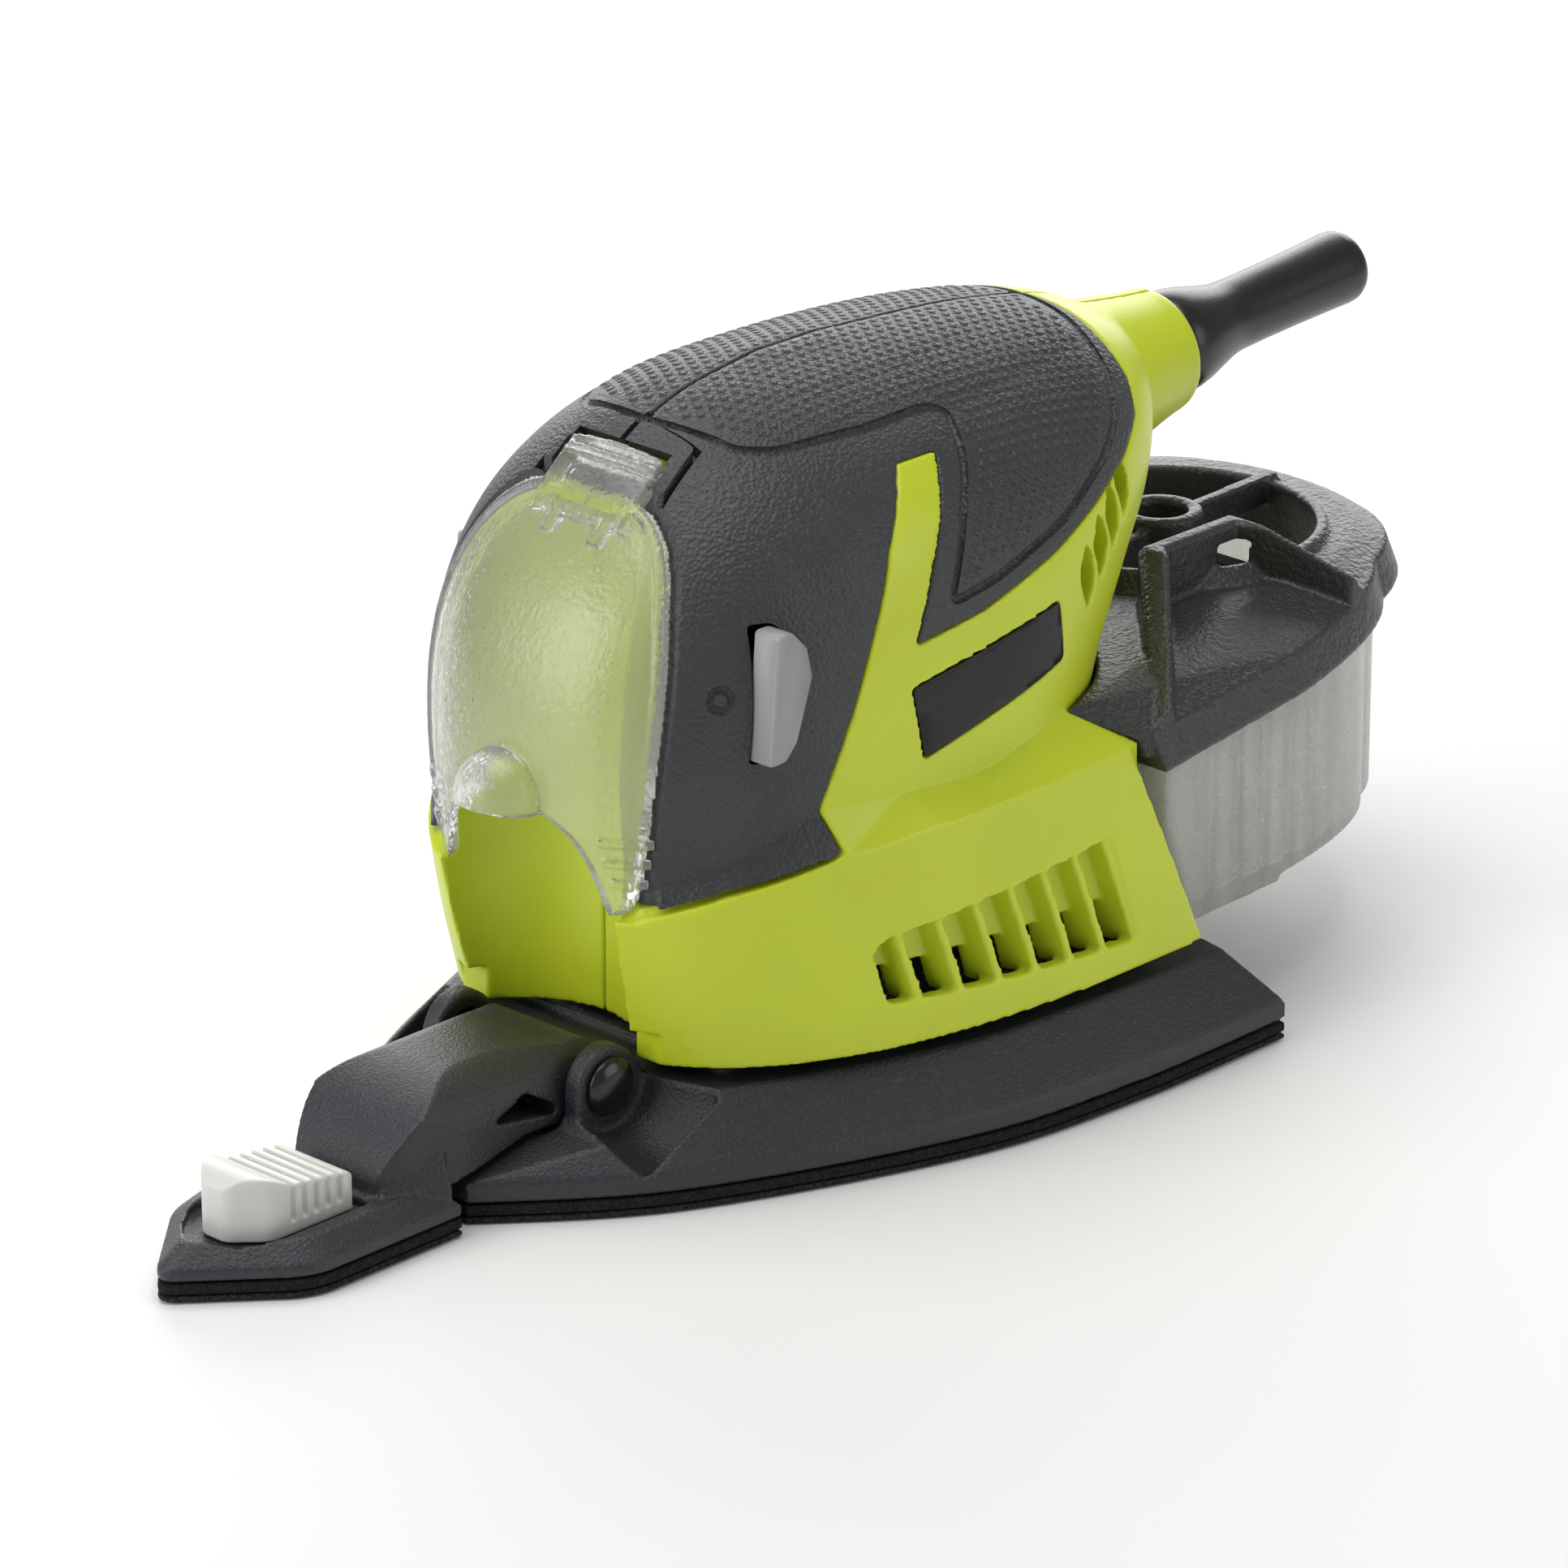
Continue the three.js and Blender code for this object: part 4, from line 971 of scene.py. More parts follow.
# Seen from above.
FRONT_BARS = [(-44.9, 0.5), (-41.0, 0.5), (-41.4, 10.9), (-48.6, 11.6), (-48.8, 9.6), (-44.9, 9.6)]


def soft_shell():
    """The overmould as one skin, with its flare down to the skirt."""
    shell = common(upper_shell(), side(rounded(soft_side(), 0.9, 3)))
    cut(shell, hull(UPPER_ROWS, SOFT, 96, 48), block(-55, -44.6, -9.0, 9.0, 90, 110))
    flare = common(soft_shelf(), side([(-62, 41.0)] + SOFT_LOWER[1:] + SLASH[:1] + [(-62, 60)]))
    join(shell, flare)
    return shell


def grip_marks(part, sign):
    """The switch's own signs: a ring for off on one side, a bar for on at the other."""
    x, z = (-53.3, 71.6)
    s = down_the_skin(x, z)
    if sign < 0:
        loop = [(1.5 + 0.6 * math.cos(2 * math.pi * k / 10), 0.6 * math.sin(2 * math.pi * k / 10))
                for k in range(10)]
        mark = lathe(loop, "y", (0, 0, 0), 36)
    else:
        mark = pipe([(0, 0, -1.8), (0, 0, 1.8)], 0.5, 10)
    normal = SKIN.normal(x, s, sign)
    turn = Vector((0, sign, 0)).rotation_difference(normal)
    mark.data.transform(Matrix.Translation(SKIN.point(x, s, sign) * MM) @ turn.to_matrix().to_4x4())
    return cut(part, mark)


def front_bar(sign):
    """A smooth raised bar behind the visor's hinge, a little apart from the grip around it."""
    plan = [(x, sign * y) for x, y in FRONT_BARS]
    around = cut(slab(grow(plan, 0.8), 90, 115), hull(UPPER_ROWS, 1.1, 96, 60))
    bar = common(slab(rounded(plan, 0.7, 3), 90, 115), hull(UPPER_ROWS, -0.45, 144, 60))
    return around, cut(bar, hull(UPPER_ROWS, SOFT, 96, 60))


def build_grip():
    whole = soft_shell()
    outline = grip_outline()
    for name, sign in SIDES:
        part = soften(keep_largest(split(whole, sign)), 0.36, 1)
        path = [SKIN.point(x, max(s, 0.0), sign) for x, s in outline if s > -0.9]
        cut(part, pipe(path, 0.78, 10))
        grip_marks(part, sign)
        around, bar = front_bar(sign)
        cut(part, around)
        join(part, bar)
        hinge_room = rod("y", 3.5, -HINGE_HALF - 1, HINGE_HALF + 1, HINGE)
        cut(part, side(rounded(grow(CAP, 0.35), 0.8, 3)), hinge_room)
        screw_wells(part)
        thin_out(part, 0.35)
        join_meshes(part, grip_studs(sign, outline))
        shade(part, 60)
        place(part, f"grip_{name}", SOFT_GRIP, "housing", (f"overmould_{name}",), "soft_grip")
    remove(whole)


# ------------------------------------------------------------------ badge, switch, visor
def build_badges():
    for name, sign in SIDES:
        plate = common(side(rounded(BADGE, 0.9, 4)), upper_shell(),
                       block(-FAR, FAR, *sorted((sign * BADGE_SEAT, sign * FAR)), 0, FAR))
        bevel(plate, 0.2, 2, 40)
        place(plate, f"plate_{name}", BADGE_BLACK, "housing", (f"badge_{name}",), "badge")


def build_switch():
    """The two thumb caps and the bar between them, which slide as one."""
    near = bevel(side(CAP, -CAP_REACH, -CAP_REACH + 5), 0.7, 3)
    far = bevel(side(CAP, CAP_REACH - 9, CAP_REACH - 4), 0.7, 3)
    bar = bevel(block(-46, -42, -CAP_REACH + 4.5, CAP_REACH - 8.5, 69, 75), 0.4, 2)
    caps = join_meshes(near, far, bar)
    place(shade(caps, 40), "switch_caps", SWITCH_GREY, "switch", ("switch_slider",), "switch_grey")


def arch_outline():
    """The visor's lower opening for the folded finger, seen from the front."""
    points = [(-16.5, 30), (16.5, 30), (15.8, 39.7)]
    steps = 12
    corners = [(15.8, 39.7), (13.6, 45), (14.2, 54.3), (0, 54.5)]
    for k in range(1, steps + 1):
        t = k / steps
        weights = ((1 - t) ** 3, 3 * (1 - t) ** 2 * t, 3 * (1 - t) * t * t, t ** 3)
        points.append((sum(w * c[0] for w, c in zip(weights, corners)),
                       sum(w * c[1] for w, c in zip(weights, corners))))
    points += [(-y, z) for y, z in points[-2:2:-1]] + [(-15.8, 39.7)]
    return points


TAB_SIDE = [(-54.4, 91.4), (-52.2, 90.0), (-47.4, 94.2), (-45.2, 95.6), (-45.2, 102), (-53, 102)]


def visor_tab():
    """The stout tab at the visor's top edge, raised a little above the shell, with two prongs under it."""
    tab = common(hull(UPPER_ROWS, -0.6, 144, 60), side(TAB_SIDE, -8.6, 8.6))
    cut(tab, hull(UPPER_ROWS, 2.0, 96, 60))
    bevel(tab, 0.5, 2, 40)
    for y in (-4.6, 4.6):
        prong = side([(-55.0, 88.6), (-53.8, 88.0), (-49, 92.8), (-51, 93.6)], y - 0.9, y + 0.9)
        join(tab, prong)
    return tab


DOME = (-68.6, 0, 55)
DOME_RADIUS = 6.8
DOME_BORE = 5.4


def build_visor():
    """The clear visor: a thin skin with a hollow thumb dome, an arch, a thick rim, side ribs and a tab."""
    outer = common(upper_shell(), side(rounded(visor_side(), 2.2, 6)))
    dome = common(ball(DOME_RADIUS, DOME), block(-90, -60, -20, 20, 45, 75))
    shell = join(outer, dome)
    cut(shell, ball(DOME_BORE, DOME), hull(UPPER_ROWS, VISOR_WALL, 96, 60))
    arch = loft("arch", [[(x, y, z) for y, z in arch_outline()] for x in (-110, -50)])
    cut(shell, arch)
    keep_largest(shell)
    for sign in (-1, 1):
        edge = [(x, sign * (surface_y(UPPER_TABLE, x, z) - 0.55), z) for x, z in visor_edge(-0.8, 42.5, 94.5)]
        join(shell, pipe(edge, 0.85, 10))
        for k in range(3):
            z = 44.9 + 3.05 * k
            path = []
            for y in np.linspace(16.4 - 0.6 * k, 20.7 + 0.5 * k, 8):
                path.append((front_x(y, z), sign * y, z))
            join(shell, pipe(path, 0.72, 8))
    join(shell, visor_tab(), rod("y", 1.9, -HINGE_HALF, HINGE_HALF, HINGE, 32))
    cut(shell, rod("y", 1.1, -12, 12, HINGE, 24))
    for sign in (-1, 1):
        cut(shell, block(-47.9, -40, *sorted((sign * 8.7, sign * 14)), 95, 110))
    soften(shell, 0.26, 3, 0.35)
    place(shell, "clear_visor", CLEAR, "visor", ("visor",), "clear_plastic")


def front_x(y, z):
    """x of the body's front surface at a half width and height."""
    front, _, half, mid = (float(np.interp(z, UPPER_TABLE[:, 0], UPPER_TABLE[:, k])) for k in (1, 2, 3, 4))
    return mid - (mid - front) * (1 - min(abs(y) / half, 1) ** FRONT_ROUND) ** (1 / FRONT_ROUND)


# ------------------------------------------------------------------ cord guard
def build_guard():
    bore = 3.4
    profile = [(bore, -16), (5.8, -16), (5.8, 0.2), (6.4, 0.5), (7.0, 0.6), (7.7, 1.0), (7.95, 2.0),
               (8.0, 3.4), (7.85, 5.0), (7.4, 7.4), (6.6, 10.4), (6.0, 12.8), (5.6, 14.8), (5.45, 17),
               (5.4, 22), (5.45, 30), (5.6, 38), (5.7, 41), (5.6, 42.2), (5.2, 43), (4.5, 43.5),
               (bore + 0.4, 43.5), (bore, 43.1)]
    guard = tilted(lathe(profile, "x", (0, 0, 0), 96))
    place(shade(guard, 50), "cord_guard_sleeve", BLACK_RUBBER, "housing", ("cord_guard",), "black_rubber")


# ------------------------------------------------------------------ sole
SOLE_EDGE = [(-88, -12), (-64, -30.5), (-23, -47), (8, -51.2), (39, -51.5)]
SOLE_REAR = 51
DUST_HOLES = [(-30, 16), (-30, -16), (-8, 30), (-8, -30), (22, 28), (22, -28)]
PIN = (-64, 0, 14.4)
ORBIT_X = 1.0
PLATE_Z = 2.9
PLATE_BEVEL_Z = 6.0
PLATE_TOP = 14.0


def rear_bow(y):
    """x of the sole's bowed rear edge."""
    corner_x, half = SOLE_EDGE[-1][0], -SOLE_EDGE[-1][1]
    t = (y / half + 1) / 2
    return corner_x + 2 * (SOLE_REAR - corner_x) * t * (1 - t)


def sole_outline(inset=0.0, steps=16):
    """The sole's border: a spline down each side and a bowed rear edge."""
    points = []
    count = len(SOLE_EDGE)
    for k in range((count - 1) * steps + 1):
        span = min(k // steps, count - 2)
        t = (k - span * steps) / steps
        p0, p1, p2, p3 = (SOLE_EDGE[min(max(span + j, 0), count - 1)] for j in (-1, 0, 1, 2))
        point = []
        for a, b, c, d in zip(p0, p1, p2, p3):
            v0, v1 = (c - a) * 0.5, (d - b) * 0.5
            cubic = 2 * b - 2 * c + v0 + v1
            square = -3 * b + 3 * c - 2 * v0 - v1
            point.append(cubic * t ** 3 + square * t * t + v0 * t + b)
        points.append(tuple(point))
    half = -SOLE_EDGE[-1][1]
    rear = [half * (k / steps - 1) for k in range(1, steps * 2)]
    whole = points + [(rear_bow(y), y) for y in rear] + [(x, -y) for x, y in reversed(points)]
    if not inset:
        return whole
    inner = grow(whole, -inset)
    for i, (x, y) in enumerate(inner):
        if len(points) <= i < len(points) + len(rear):
            y = whole[i][1] * (half - inset) / half
            inner[i] = (rear_bow(y) - inset, y)
        else:
            inner[i] = (min(x, rear_bow(half - inset) - inset), min(max(y, inset - half), half - inset))
    return inner


def pad_rings(outline_at, levels):
    """Rings of a slab: one for each (height, inset)."""
    return [[(x, y, z) for x, y in outline_at(inset)] for z, inset in levels]


def arc_side(points_before, centre, radius, start, end, points_after, steps=16):
    arc = [(centre[0] + radius * math.cos(start + (end - start) * k / steps),
            centre[1] + radius * math.sin(start + (end - start) * k / steps)) for k in range(steps + 1)]
    return points_before + arc + points_after


def make_plate():
    levels = [(PLATE_Z, 0.35), (PLATE_Z + 0.35, 0), (PLATE_BEVEL_Z - 0.25, 0), (PLATE_BEVEL_Z + 0.2, 0.25),
              (PLATE_TOP - 0.35, 7.1), (PLATE_TOP, 7.6)]
    plate = loft("plate", pad_rings(sole_outline, levels))
    well = side([(-100, 5.4), (-89, 5.4), (-77.5, 8.6), (-56.5, 8.6), (-56.5, 40), (-100, 40)], -12.6, 12.6)
    nose = side([(-100, 6.4), (-86, 6.4), (-71, 9.5), (-69.9, 11), (-69.9, 40), (-100, 40)])
    cut(plate, well, nose)
    for radius, low in ((16, 14.5 - 0.3), (11.3, 6.9), (7.5, 0)):
        cut(plate, rod("z", radius, low, 40, (ORBIT_X, 0, 0), 64))
    for x, y in DUST_HOLES:
        cut(plate, rod("z", 4, -1, 40, (x, y, 0), 40))
    for sign in (-1, 1):
        bell = [(0, 0), (6.9, 0), (7.5, 3), (8.4, 6.5), (10.2, 12), (0, 12)]
        scoop = lathe(bell, "y", (PIN[0], 0, PIN[2]), 64)
        if sign < 0:
            scoop.data.transform(Matrix.Scale(-1, 4, (0, 1, 0)))
            scoop.data.flip_normals()
        scoop.data.transform(Matrix.Translation(Vector((0, sign * 15.6, 0)) * MM))
        cut(plate, scoop)
    cheek = arc_side([(-55, 11), (-58, 16.4)], (PIN[0], PIN[2]), 5.8, 0.3, math.pi, [(-69.8, 11)])
    for sign in (-1, 1):
        join(plate, side(cheek, *sorted((sign * 12.6, sign * 15.6))))
    ring = cut(slab([(-50, -24), (26, -36), (26, 36), (-50, 24)], PLATE_TOP - 1, PLATE_TOP + 1.2),
               slab([(-48, -22), (24, -34), (24, 34), (-48, 22)], 0, 40))
    join(plate, ring)
    cut(plate, rod("y", 2.9, -60, 60, PIN))
    for sign in (-1, 1):
        cut(plate, rod("y", 4.7, *sorted((sign * 15.7, sign * 20)), PIN))
    return plate


def pad_slab(outline_at, low, high, holes=()):
    """A foam or facing layer with a slightly bulging edge."""
    mid = (low + high) / 2
    levels = [(low, 0.22), (low + 0.2, 0.04), (mid, 0), (high - 0.2, 0.04), (high, 0.22)]
    layer = loft("pad", pad_rings(outline_at, levels))
    for x, y in holes:
        cut(layer, rod("z", 4, -1, 40, (x, y, 0), 40))
    return layer


def build_sole():
    plate = soften(keep_largest(make_plate()), 0.5, 1, 0.35)
    place(plate, "sole_plate", SOLE_GREY, "platen", ("platen",), "sole_plastic")
    foam = pad_slab(sole_outline, 1.1, 2.6, DUST_HOLES)
    place(shade(foam), "sole_foam", FOAM, "platen", ("platen_foam",), "foam")
    facing = pad_slab(sole_outline, 0.0, 0.8, DUST_HOLES)
    place(shade(facing), "sole_facing", FACING, "platen", ("platen_facing",), "hook_facing")


# ------------------------------------------------------------------ finger
FINGER_PLAN = [(-135, 0), (-118.8, -14.2), (-91, -14.2), (-91, 14.2), (-118.8, 14.2)]


def finger_outline(inset=0.0):
    """The finger's border with a blunt rounded tip."""
    points = grow(FINGER_PLAN, -inset)
    tip, rest = points[0], points[1:]
    out = []
    for i, corner in enumerate([tip] + rest):
        radius = (2.8, 4.0, 0.3, 0.3, 4.0)[i]
        ring = [tip] + rest
        before = Vector(ring[i - 1]) - Vector(corner)
        after = Vector(ring[(i + 1) % 5]) - Vector(corner)
        start = Vector(corner) + before.normalized() * radius
        end = Vector(corner) + after.normalized() * radius
        for k in range(9):
            t = k / 8
            out.append(tuple(start * (1 - t) ** 2 + Vector(corner) * 2 * t * (1 - t) + end * t * t))
    return out


def bezier(p0, p1, p2, p3, steps=16):
    out = []
    for k in range(1, steps + 1):
        t = k / steps
        weights = ((1 - t) ** 3, 3 * (1 - t) ** 2 * t, 3 * (1 - t) * t * t, t ** 3)
        out.append(tuple(sum(w * p[i] for w, p in zip(weights, (p0, p1, p2, p3))) for i in (0, 1)))
    return out


def make_arm():
    outline = [(-103, 4.6), (-101.6, 9.4)]
    outline += bezier((-101.6, 9.4), (-99, 14.6), (-94, 19.6), (-86, 20.6))
    outline += bezier((-86, 20.6), (-80, 21), (-72, 20.6), (-66, 19.2))
    underside = [(-77, 9.6), (-90.5, 6.4), (-91, 4.6)]
    outline = arc_side(outline, (PIN[0], PIN[2]), 5, 1.7, -math.pi / 2, underside)
    arm = side(outline, -12, 12)
    half = [(12, 0), (12, 12)] + bezier((12, 12), (12, 18), (8, 21), (3, 21))
    crest_points = half + [(-y, z) for y, z in reversed(half)]
    crest = loft("crest", [[(x, y, z) for y, z in crest_points] for x in (-110, -50)])
    half_plan = [(-106, -3.2)] + bezier((-106, -3.2), (-104.5, -6.5), (-100, -9.6), (-96, -10.4), 8)
    half_plan += bezier((-96, -10.4), (-92, -11.2), (-90, -12), (-84, -12), 8) + [(-50, -12)]
    plan = slab(half_plan + [(x, -y) for x, y in reversed(half_plan)], -10, 50)
    return common(arm, crest, plan)


def latch_well():
    front = [(-128.5, 0)]
    side_line = [(-127.4, -2.6), (-124.8, -5.6), (-121.4, -8.0), (-119.2, -8.6), (-103.3, -8.6)]
    points = front + side_line + [(x, -y) for x, y in reversed(side_line)]
    return slab(points, 5.8, 14)


def make_finger():
    levels = [(PLATE_Z, 0.3), (PLATE_Z + 0.3, 0), (4.45, 0), (4.8, 0.25), (7.1, 2.75), (7.4, 3.2)]
    pad = loft("pad", pad_rings(finger_outline, levels))
    body = join(pad, make_arm())
    fillets = []
    for sign in (-1, 1):
        ramp_points = [(-102, sign * 9.0, 7.2), (-92, sign * 13.4, 7.2), (-92, sign * 11.4, 12.5),
                       (-99, sign * 9.0, 10.5), (-101, sign * 6, 7.2), (-92, sign * 6, 12.5),
                       (-92, sign * 6, 5.2), (-102, sign * 6, 5.2), (-92, sign * 13.4, 5.2),
                       (-102, sign * 9.0, 5.2)]
        fillets.append(convex(ramp_points))
    join(body, *fillets)
    cut(body, latch_well())
    pocket = rounded([(-83, 13), (-75.8, 15.6), (-70.5, 12.4), (-70.5, 11)], 0.9, 3)
    for sign in (-1, 1):
        cut(body, side(pocket, *sorted((sign * 7, sign * 20))))
        groove = [(-91.6, sign * 12.4, 15.2), (-91.2, sign * 12.2, 9), (-91, sign * 12.4, 3)]
        cut(body, pipe(groove, 0.35, 8))
    cut(body, side([(-83, 13), (-75.8, 15.6), (-70.5, 12.4), (-70.5, 11)], -7.2, 7.2))
    cut(body, rod("y", 2.9, -60, 60, PIN))
    return body


def build_finger():
    body = soften(keep_largest(make_finger()), 0.34, 1, 0.4)
    place(body, "finger_body", SOLE_GREY, "finger", ("finger",), "sole_plastic")
    foam = pad_slab(finger_outline, 1.1, 2.6)
    place(shade(foam), "finger_pad_foam", FOAM, "finger", ("finger_foam",), "foam")
    facing = pad_slab(finger_outline, 0.0, 0.8)
    place(shade(facing), "finger_pad_facing", FACING, "finger", ("finger_facing",), "hook_facing")
    profile = [(0, -17.75), (1.2, -17.7), (2.5, -17.45), (3.6, -16.95), (4.15, -16.5), (4.3, -16.05),
               (4.2, -15.9), (2.6, -15.9)]
    profile += [(r, -d) for r, d in reversed(profile)]
    pin = lathe(profile, "y", PIN, 64)
    place(shade(pin, 60), "pivot_pin", PIN_BLACK, "finger", ("finger_pin",), "black_rubber")


def build_latch():
    """The latch that clamps the finger's sheet: pointed nose, raised thumb ridge and grip ribs."""
    low = 6.1
    outline = [(-124.5, low), (-124.5, 12.6)]
    outline += bezier((-124.5, 12.6), (-124.2, 14.6), (-122.6, 15.6), (-120.6, 15.3))
    outline += bezier((-120.6, 15.3), (-118.4, 15), (-117.6, 13.9), (-115.4, 13.4), 8)
    outline += [(-107, 12.4), (-105.2, 11.9), (-104.4, 11.2), (-104.4, low)]
    latch = side(outline, -7, 7)
    plan = [(-124.2, -2.4), (-119.4, -6.8), (-104, -6.8), (-104, 6.8), (-119.4, 6.8), (-124.2, 2.4)]
    common(latch, slab(rounded(plan, 1.4, 4), 0, 30))
    bevel(latch, 0.45, 3, 40)
    for k in range(5):
        x = -115.6 + 2.15 * k
        z = 13.4 - 0.12 * (x + 115.4)
        across = [(x - 0.7, z + 1.2), (x - 0.3, z - 0.8), (x + 0.3, z - 0.8), (x + 0.7, z + 1.2)]
        cut(latch, side(across, -9, 9))
        for sign in (-1, 1):
            upright = [(-0.7, 7.6), (-0.3, 6.1), (0.3, 6.1), (0.7, 7.6)]
            cut(latch, slab([(x + along, sign * out) for along, out in upright], 8, 16))
    soften(latch, 0.22, 1, 0.4)
    place(latch, "latch_thumb", LATCH_WHITE, "finger_latch", ("finger_latch",), "latch_white")


# ------------------------------------------------------------------ dust box
BOX_SIDE = 41
LID_EDGE_Z = 45
LID_SLOPE = 0.097
LID_BAND = 6.2
HUB_X = 70
BOX_FRONT = [(29.9, 0), (29.9, 16.4), (17.4, 49.2), (30.8, 50.2), (34.6, 58), (40, 66), (42, 90), (160, 90),
             (160, 0)]


def quad_curve(p0, p1, p2, steps=14):
    out = []
    for k in range(1, steps + 1):
        t = k / steps
        out.append(((1 - t) ** 2 * p0[0] + 2 * t * (1 - t) * p1[0] + t * t * p2[0],
                    (1 - t) ** 2 * p0[1] + 2 * t * (1 - t) * p1[1] + t * t * p2[1]))
    return out


def box_outline(extra):
    half = [(24 - extra, BOX_SIDE + extra), (51.5, 39.8 + extra)]
    half += quad_curve(half[-1], (75, 36.5 + extra), (83, 28.5 + extra))
    half += quad_curve(half[-1], (93 + extra, 24.5 + extra), (96 + extra, 15))
    half += quad_curve(half[-1], (98.5 + extra, 7.5), (98.5 + extra, 0), 8)
    return [(x, -y) for x, y in half] + [(x, y) for x, y in reversed(half[:-1])]


def lid_edge(x, rise):
    return LID_EDGE_Z + rise + LID_SLOPE * (x - 24)


def below_lid(rise):
    return side([(-60, lid_edge(-60, rise)), (160, lid_edge(160, rise)), (160, -60), (-60, -60)])


def box_space(inset):
    return side(grow(BOX_FRONT, -inset))


def make_bin():
    outer = common(slab(box_outline(0), 17.6, 70), below_lid(-0.4), box_space(0.4))
    inner = common(slab(box_outline(-1.8), 20.2, 70), box_space(2.2))
    step = block(51.6, 120, -60, 60, 10, 18.7)
    cut(outer, inner, step, block(20, 36, -11, 11, 24, 36), hull(UPPER_ROWS, -0.5, 144, 48))
    ribs = None
    for sign in (-1, 1):
        for k in range(7):
            x = 36 + 6.2 * k
            rib = block(x - 0.6, x + 0.6, *sorted((sign * 34, sign * 39.6)), 19, 44)
            ribs = join(ribs, rib) if ribs else rib
    ribs = common(ribs, slab(box_outline(-1.6), 18, 70), box_space(2.0))
    ring = slab(box_outline(-3.0), 0, 90)
    cut(ribs, ring)
    join(outer, ribs)
    for sign in (-1, 1):
        notch = block(51.2, 51.9, *sorted((sign * 39.2, sign * 45)), 10, 60)
        cut(outer, notch)
    return outer


LID_FRONT = 18.4
COLLAR = [(29.6, 50), (29.4, 52), (28.6, 54.5), (24.3, 59.4), (23.7, 59.8), (22.9, 59.7), (22.5, 59),
          (23.6, 53), (23.9, 50)]


def deck_z(x):
    """Height of the lid's upper outer edge."""
    return lid_edge(x, LID_BAND)


def deck_ring(radius, drop):
    """Points of the deck's surface around the collar's foot, moved down by the drop."""
    points = []
    for k in range(48):
        angle = 2 * math.pi * k / 48
        x = HUB_X + radius * math.cos(angle)
        z = min(deck_z(x) + 1.9 - 0.7 * math.cos(angle), 59.3)
        points.append((x, radius * math.sin(angle), z - drop))
    return points


def lid_outline(extra, front):
    points = box_outline(extra)[1:-1]
    wide = BOX_SIDE + extra
    return [(front, -wide)] + points + [(front, wide)]


def lid_deck():
    """The deck: it rises from the outer edge to the collar, and reaches forward beside the body."""
    edge = lid_outline(1.0, LID_FRONT)
    points = [(x, y, deck_z(x) - drop) for x, y in edge for drop in (0, 4)]
    points += [(9.0, sign * 34.4, z) for sign in (-1, 1) for z in (55.0, 51.0)]
    return convex(points + deck_ring(28, 0))


def rib_arms(sign, spread, low, top_drop):
    """The V-shaped wall of one side: up from the front corner, back, and down to the side edge."""
    outer = [(18.9, 42.2), (44.6, 17.0), (64.6, 17.0), (72.6, 37.6)]
    inner = [(24.0, 42.2), (47.6, 20.4), (62.4, 20.4), (68.6, 37.6)]
    middle = [((a[0] + b[0]) / 2, (a[1] + b[1]) / 2) for a, b in zip(outer, inner)]
    def pulled(line):
        return [(m[0] + (p[0] - m[0]) * spread, m[1] + (p[1] - m[1]) * spread) for p, m in zip(line, middle)]
    plan = [(x, sign * y) for x, y in pulled(outer) + pulled(inner)[::-1]]
    profile = [(10, 46.0), (18.4, 50.0), (44.8, 65.9), (64.2, 65.9), (71.5, 57.0), (100, 57.0)]
    profile = [(x, z - top_drop) for x, z in profile] + [(100, low), (10, low)]
    arms = common(slab(plan, low, 80), side(profile))
    return cut(arms, rod("z", 23.4, low - 1, 63.2, (HUB_X, 0, 0), 96))


def make_lid():
    band = loft("band", [[(x, y, lid_edge(x, rise) if top is None else deck_z(x) + top)
                          for x, y in lid_outline(extra, front)]
                         for extra, front, rise, top in ((3.1, 20.4, 0, None), (3.4, 20.2, 0.5, None),
                                                         (1.6, 18.9, 0, -0.35), (1.2, 18.6, 0, 0))])
    lid = join(band, lid_deck())
    under = [(x, y, z) for x, y in lid_outline(1.0, 22.5) for z in (30, deck_z(x) - 2.2)]
    cut(lid, convex(under + deck_ring(27, 2.2)))
    cut(lid, rod("z", 24.0, 20, 70, (HUB_X, 0, 0), 96))
    join(lid, lathe(COLLAR, "z", (HUB_X, 0, 0), 120))
    for sign in (-1, 1):
        arms = join(rib_arms(sign, 1.0, 51, 0.7), rib_arms(sign, 0.72, 51, 0.0))
        under_deck = hollow_guard(sign)
        cut(arms, under_deck)
        join(lid, arms)
    spoke = side([(74, 54), (95, 56.5), (95, 60.6), (74, 60.2)], -1.0, 1.0)
    front_spoke = side([(42, 54), (66, 54), (66, 60.2), (42, 58.4)], -3.0, -1.4)
    join(lid, spoke, front_spoke)
    hub = [(3, 52), (6.6, 52), (6.6, 60.6), (6.3, 61.2), (5.7, 61.5), (4.9, 61.5), (4.3, 61.2), (4.1, 60.6),
           (4.1, 56), (3, 56)]
    join(lid, lathe(hub, "z", (HUB_X - 1, 0, 0), 64))
    cut(lid, hull(UPPER_ROWS, -0.5, 144, 48))
    cut(lid, side([(0, 0), (29, 17), (17.9, 48.9), (17.9, 49.4), (8.6, 54.4), (-20, 54.4), (-20, 0)]))
    return keep_largest(lid)


def hollow_guard(sign):
    """The space under the deck, where the V-shaped walls don't reach."""
    plan = [(22, 40.6), (60, 38.8), (72, 34.6), (60, 24), (40, 24)]
    return convex([(x, sign * y, z) for x, y in plan for z in (40, 51.5)])


def build_dust_box():
    lid = soften(make_lid(), 0.4, 1, 0.35)
    place(lid, "openwork_lid", LID_GREY, "dust_box", ("dust_lid",), "lid_plastic")
    bin_body = soften(keep_largest(make_bin()), 0.45, 2, 0.4)
    place(bin_body, "cloudy_dust_bin", CLOUDY, "dust_box", ("dust_bin",), "bin_frosted")


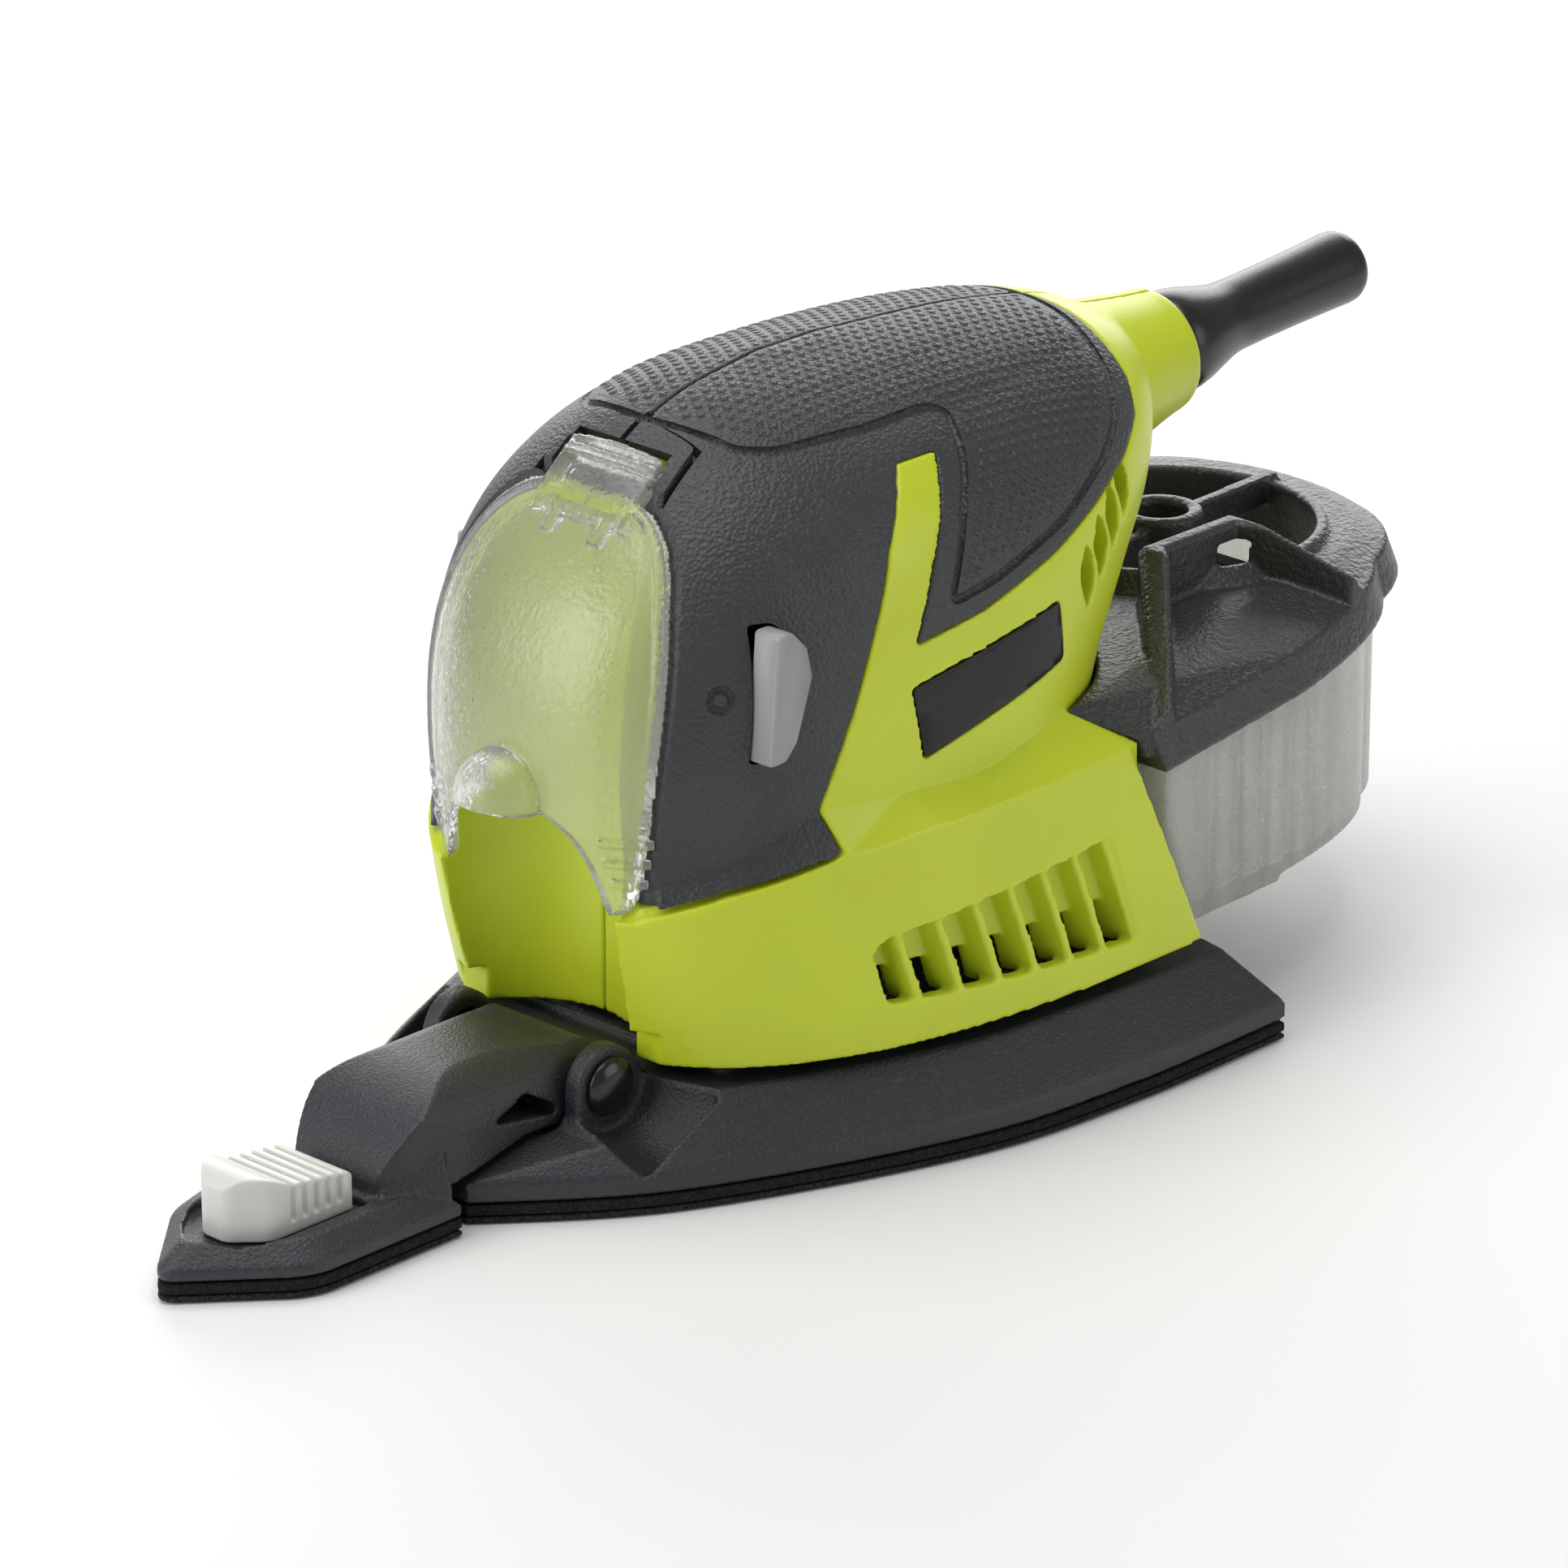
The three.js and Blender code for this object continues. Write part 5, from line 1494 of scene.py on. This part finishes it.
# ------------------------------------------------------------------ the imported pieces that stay
def dress_inner_pieces():
    steel = ["visor_pin", "field_core", "lower_bearing", "upper_bearing", "motor_shaft", "armature_core",
             "eccentric", "platen_bearing", "retaining_washer", "retaining_screw"]
    steel += [f"housing_screw_{k}" for k in range(1, 5)]
    dress(STEEL, *steel)
    copper = ["field_coil_left", "field_coil_right", "brush_holder_front", "brush_holder_rear",
              "armature_winding_lower", "armature_winding_upper", "commutator"]
    dress(COPPER, *copper)
    dress(CARBON, "carbon_brush_front", "carbon_brush_rear")
    dress(BLACK_PLASTIC, "fan", "motor_bracket", "switch_module", "cord_clamp", "filter_frame")
    dress(PAPER, "filter_pleats")
    dress(BLACK_RUBBER, "upper_bearing_sleeve", "duct_seal", *[f"rubber_post_{k}" for k in range(1, 5)])


# ------------------------------------------------------------------ studio
def build_studio():
    floor_material, nodes, links, shader = new_material("studio_floor")
    tone = ramp(nodes, links, noise_of(nodes, links, 300, 2), [(0.3, grey(0.86)), (0.7, grey(0.9))])
    links.new(tone, shader.inputs["Base Color"])
    shader.inputs["Roughness"].default_value = 0.7
    half, level = 1500, -0.3
    corners = [(-half, -half, level), (half, -half, level), (half, half, level), (-half, half, level)]
    floor = new_object("floor", corners, [[0, 1, 2, 3]])
    floor.data.materials.append(floor_material)


def add_light(name, kind, place_at, target, size, power, tint=(1, 1, 1)):
    light = bpy.data.lights.new(name, kind)
    light.energy = power
    light.color = tint
    if kind == "AREA":
        light.shape = "RECTANGLE"
        light.size, light.size_y = size
    lamp = bpy.data.objects.new(name, light)
    bpy.context.scene.collection.objects.link(lamp)
    lamp.location = place_at
    lamp.rotation_euler = (Vector(target) - Vector(place_at)).to_track_quat("-Z", "Y").to_euler()
    return lamp


def light_scene():
    bpy.context.scene.view_settings.view_transform = "Standard"
    world = bpy.data.worlds.new("soft_studio")
    bpy.context.scene.world = world
    world.use_nodes = True
    world.node_tree.nodes["Background"].inputs["Color"].default_value = (1, 1, 1, 1)
    world.node_tree.nodes["Background"].inputs["Strength"].default_value = 0.26
    middle = (0, 0, 0.05)
    add_light("overhead", "AREA", (-0.1, 0.1, 0.9), middle, (0.8, 0.8), 5.4)
    add_light("left_box", "AREA", (-0.8, 0.3, 0.35), middle, (0.6, 0.6), 3.4)
    add_light("right_box", "AREA", (0.35, -0.8, 0.35), middle, (0.6, 0.5), 1.6)
    add_light("back_box", "AREA", (0.75, 0.75, 0.45), middle, (1.2, 0.7), 9)


build_housing()
build_grip()
build_badges()
build_switch()
build_visor()
build_guard()
build_sole()
build_finger()
build_latch()
build_dust_box()
dress_inner_pieces()
build_studio()
light_scene()
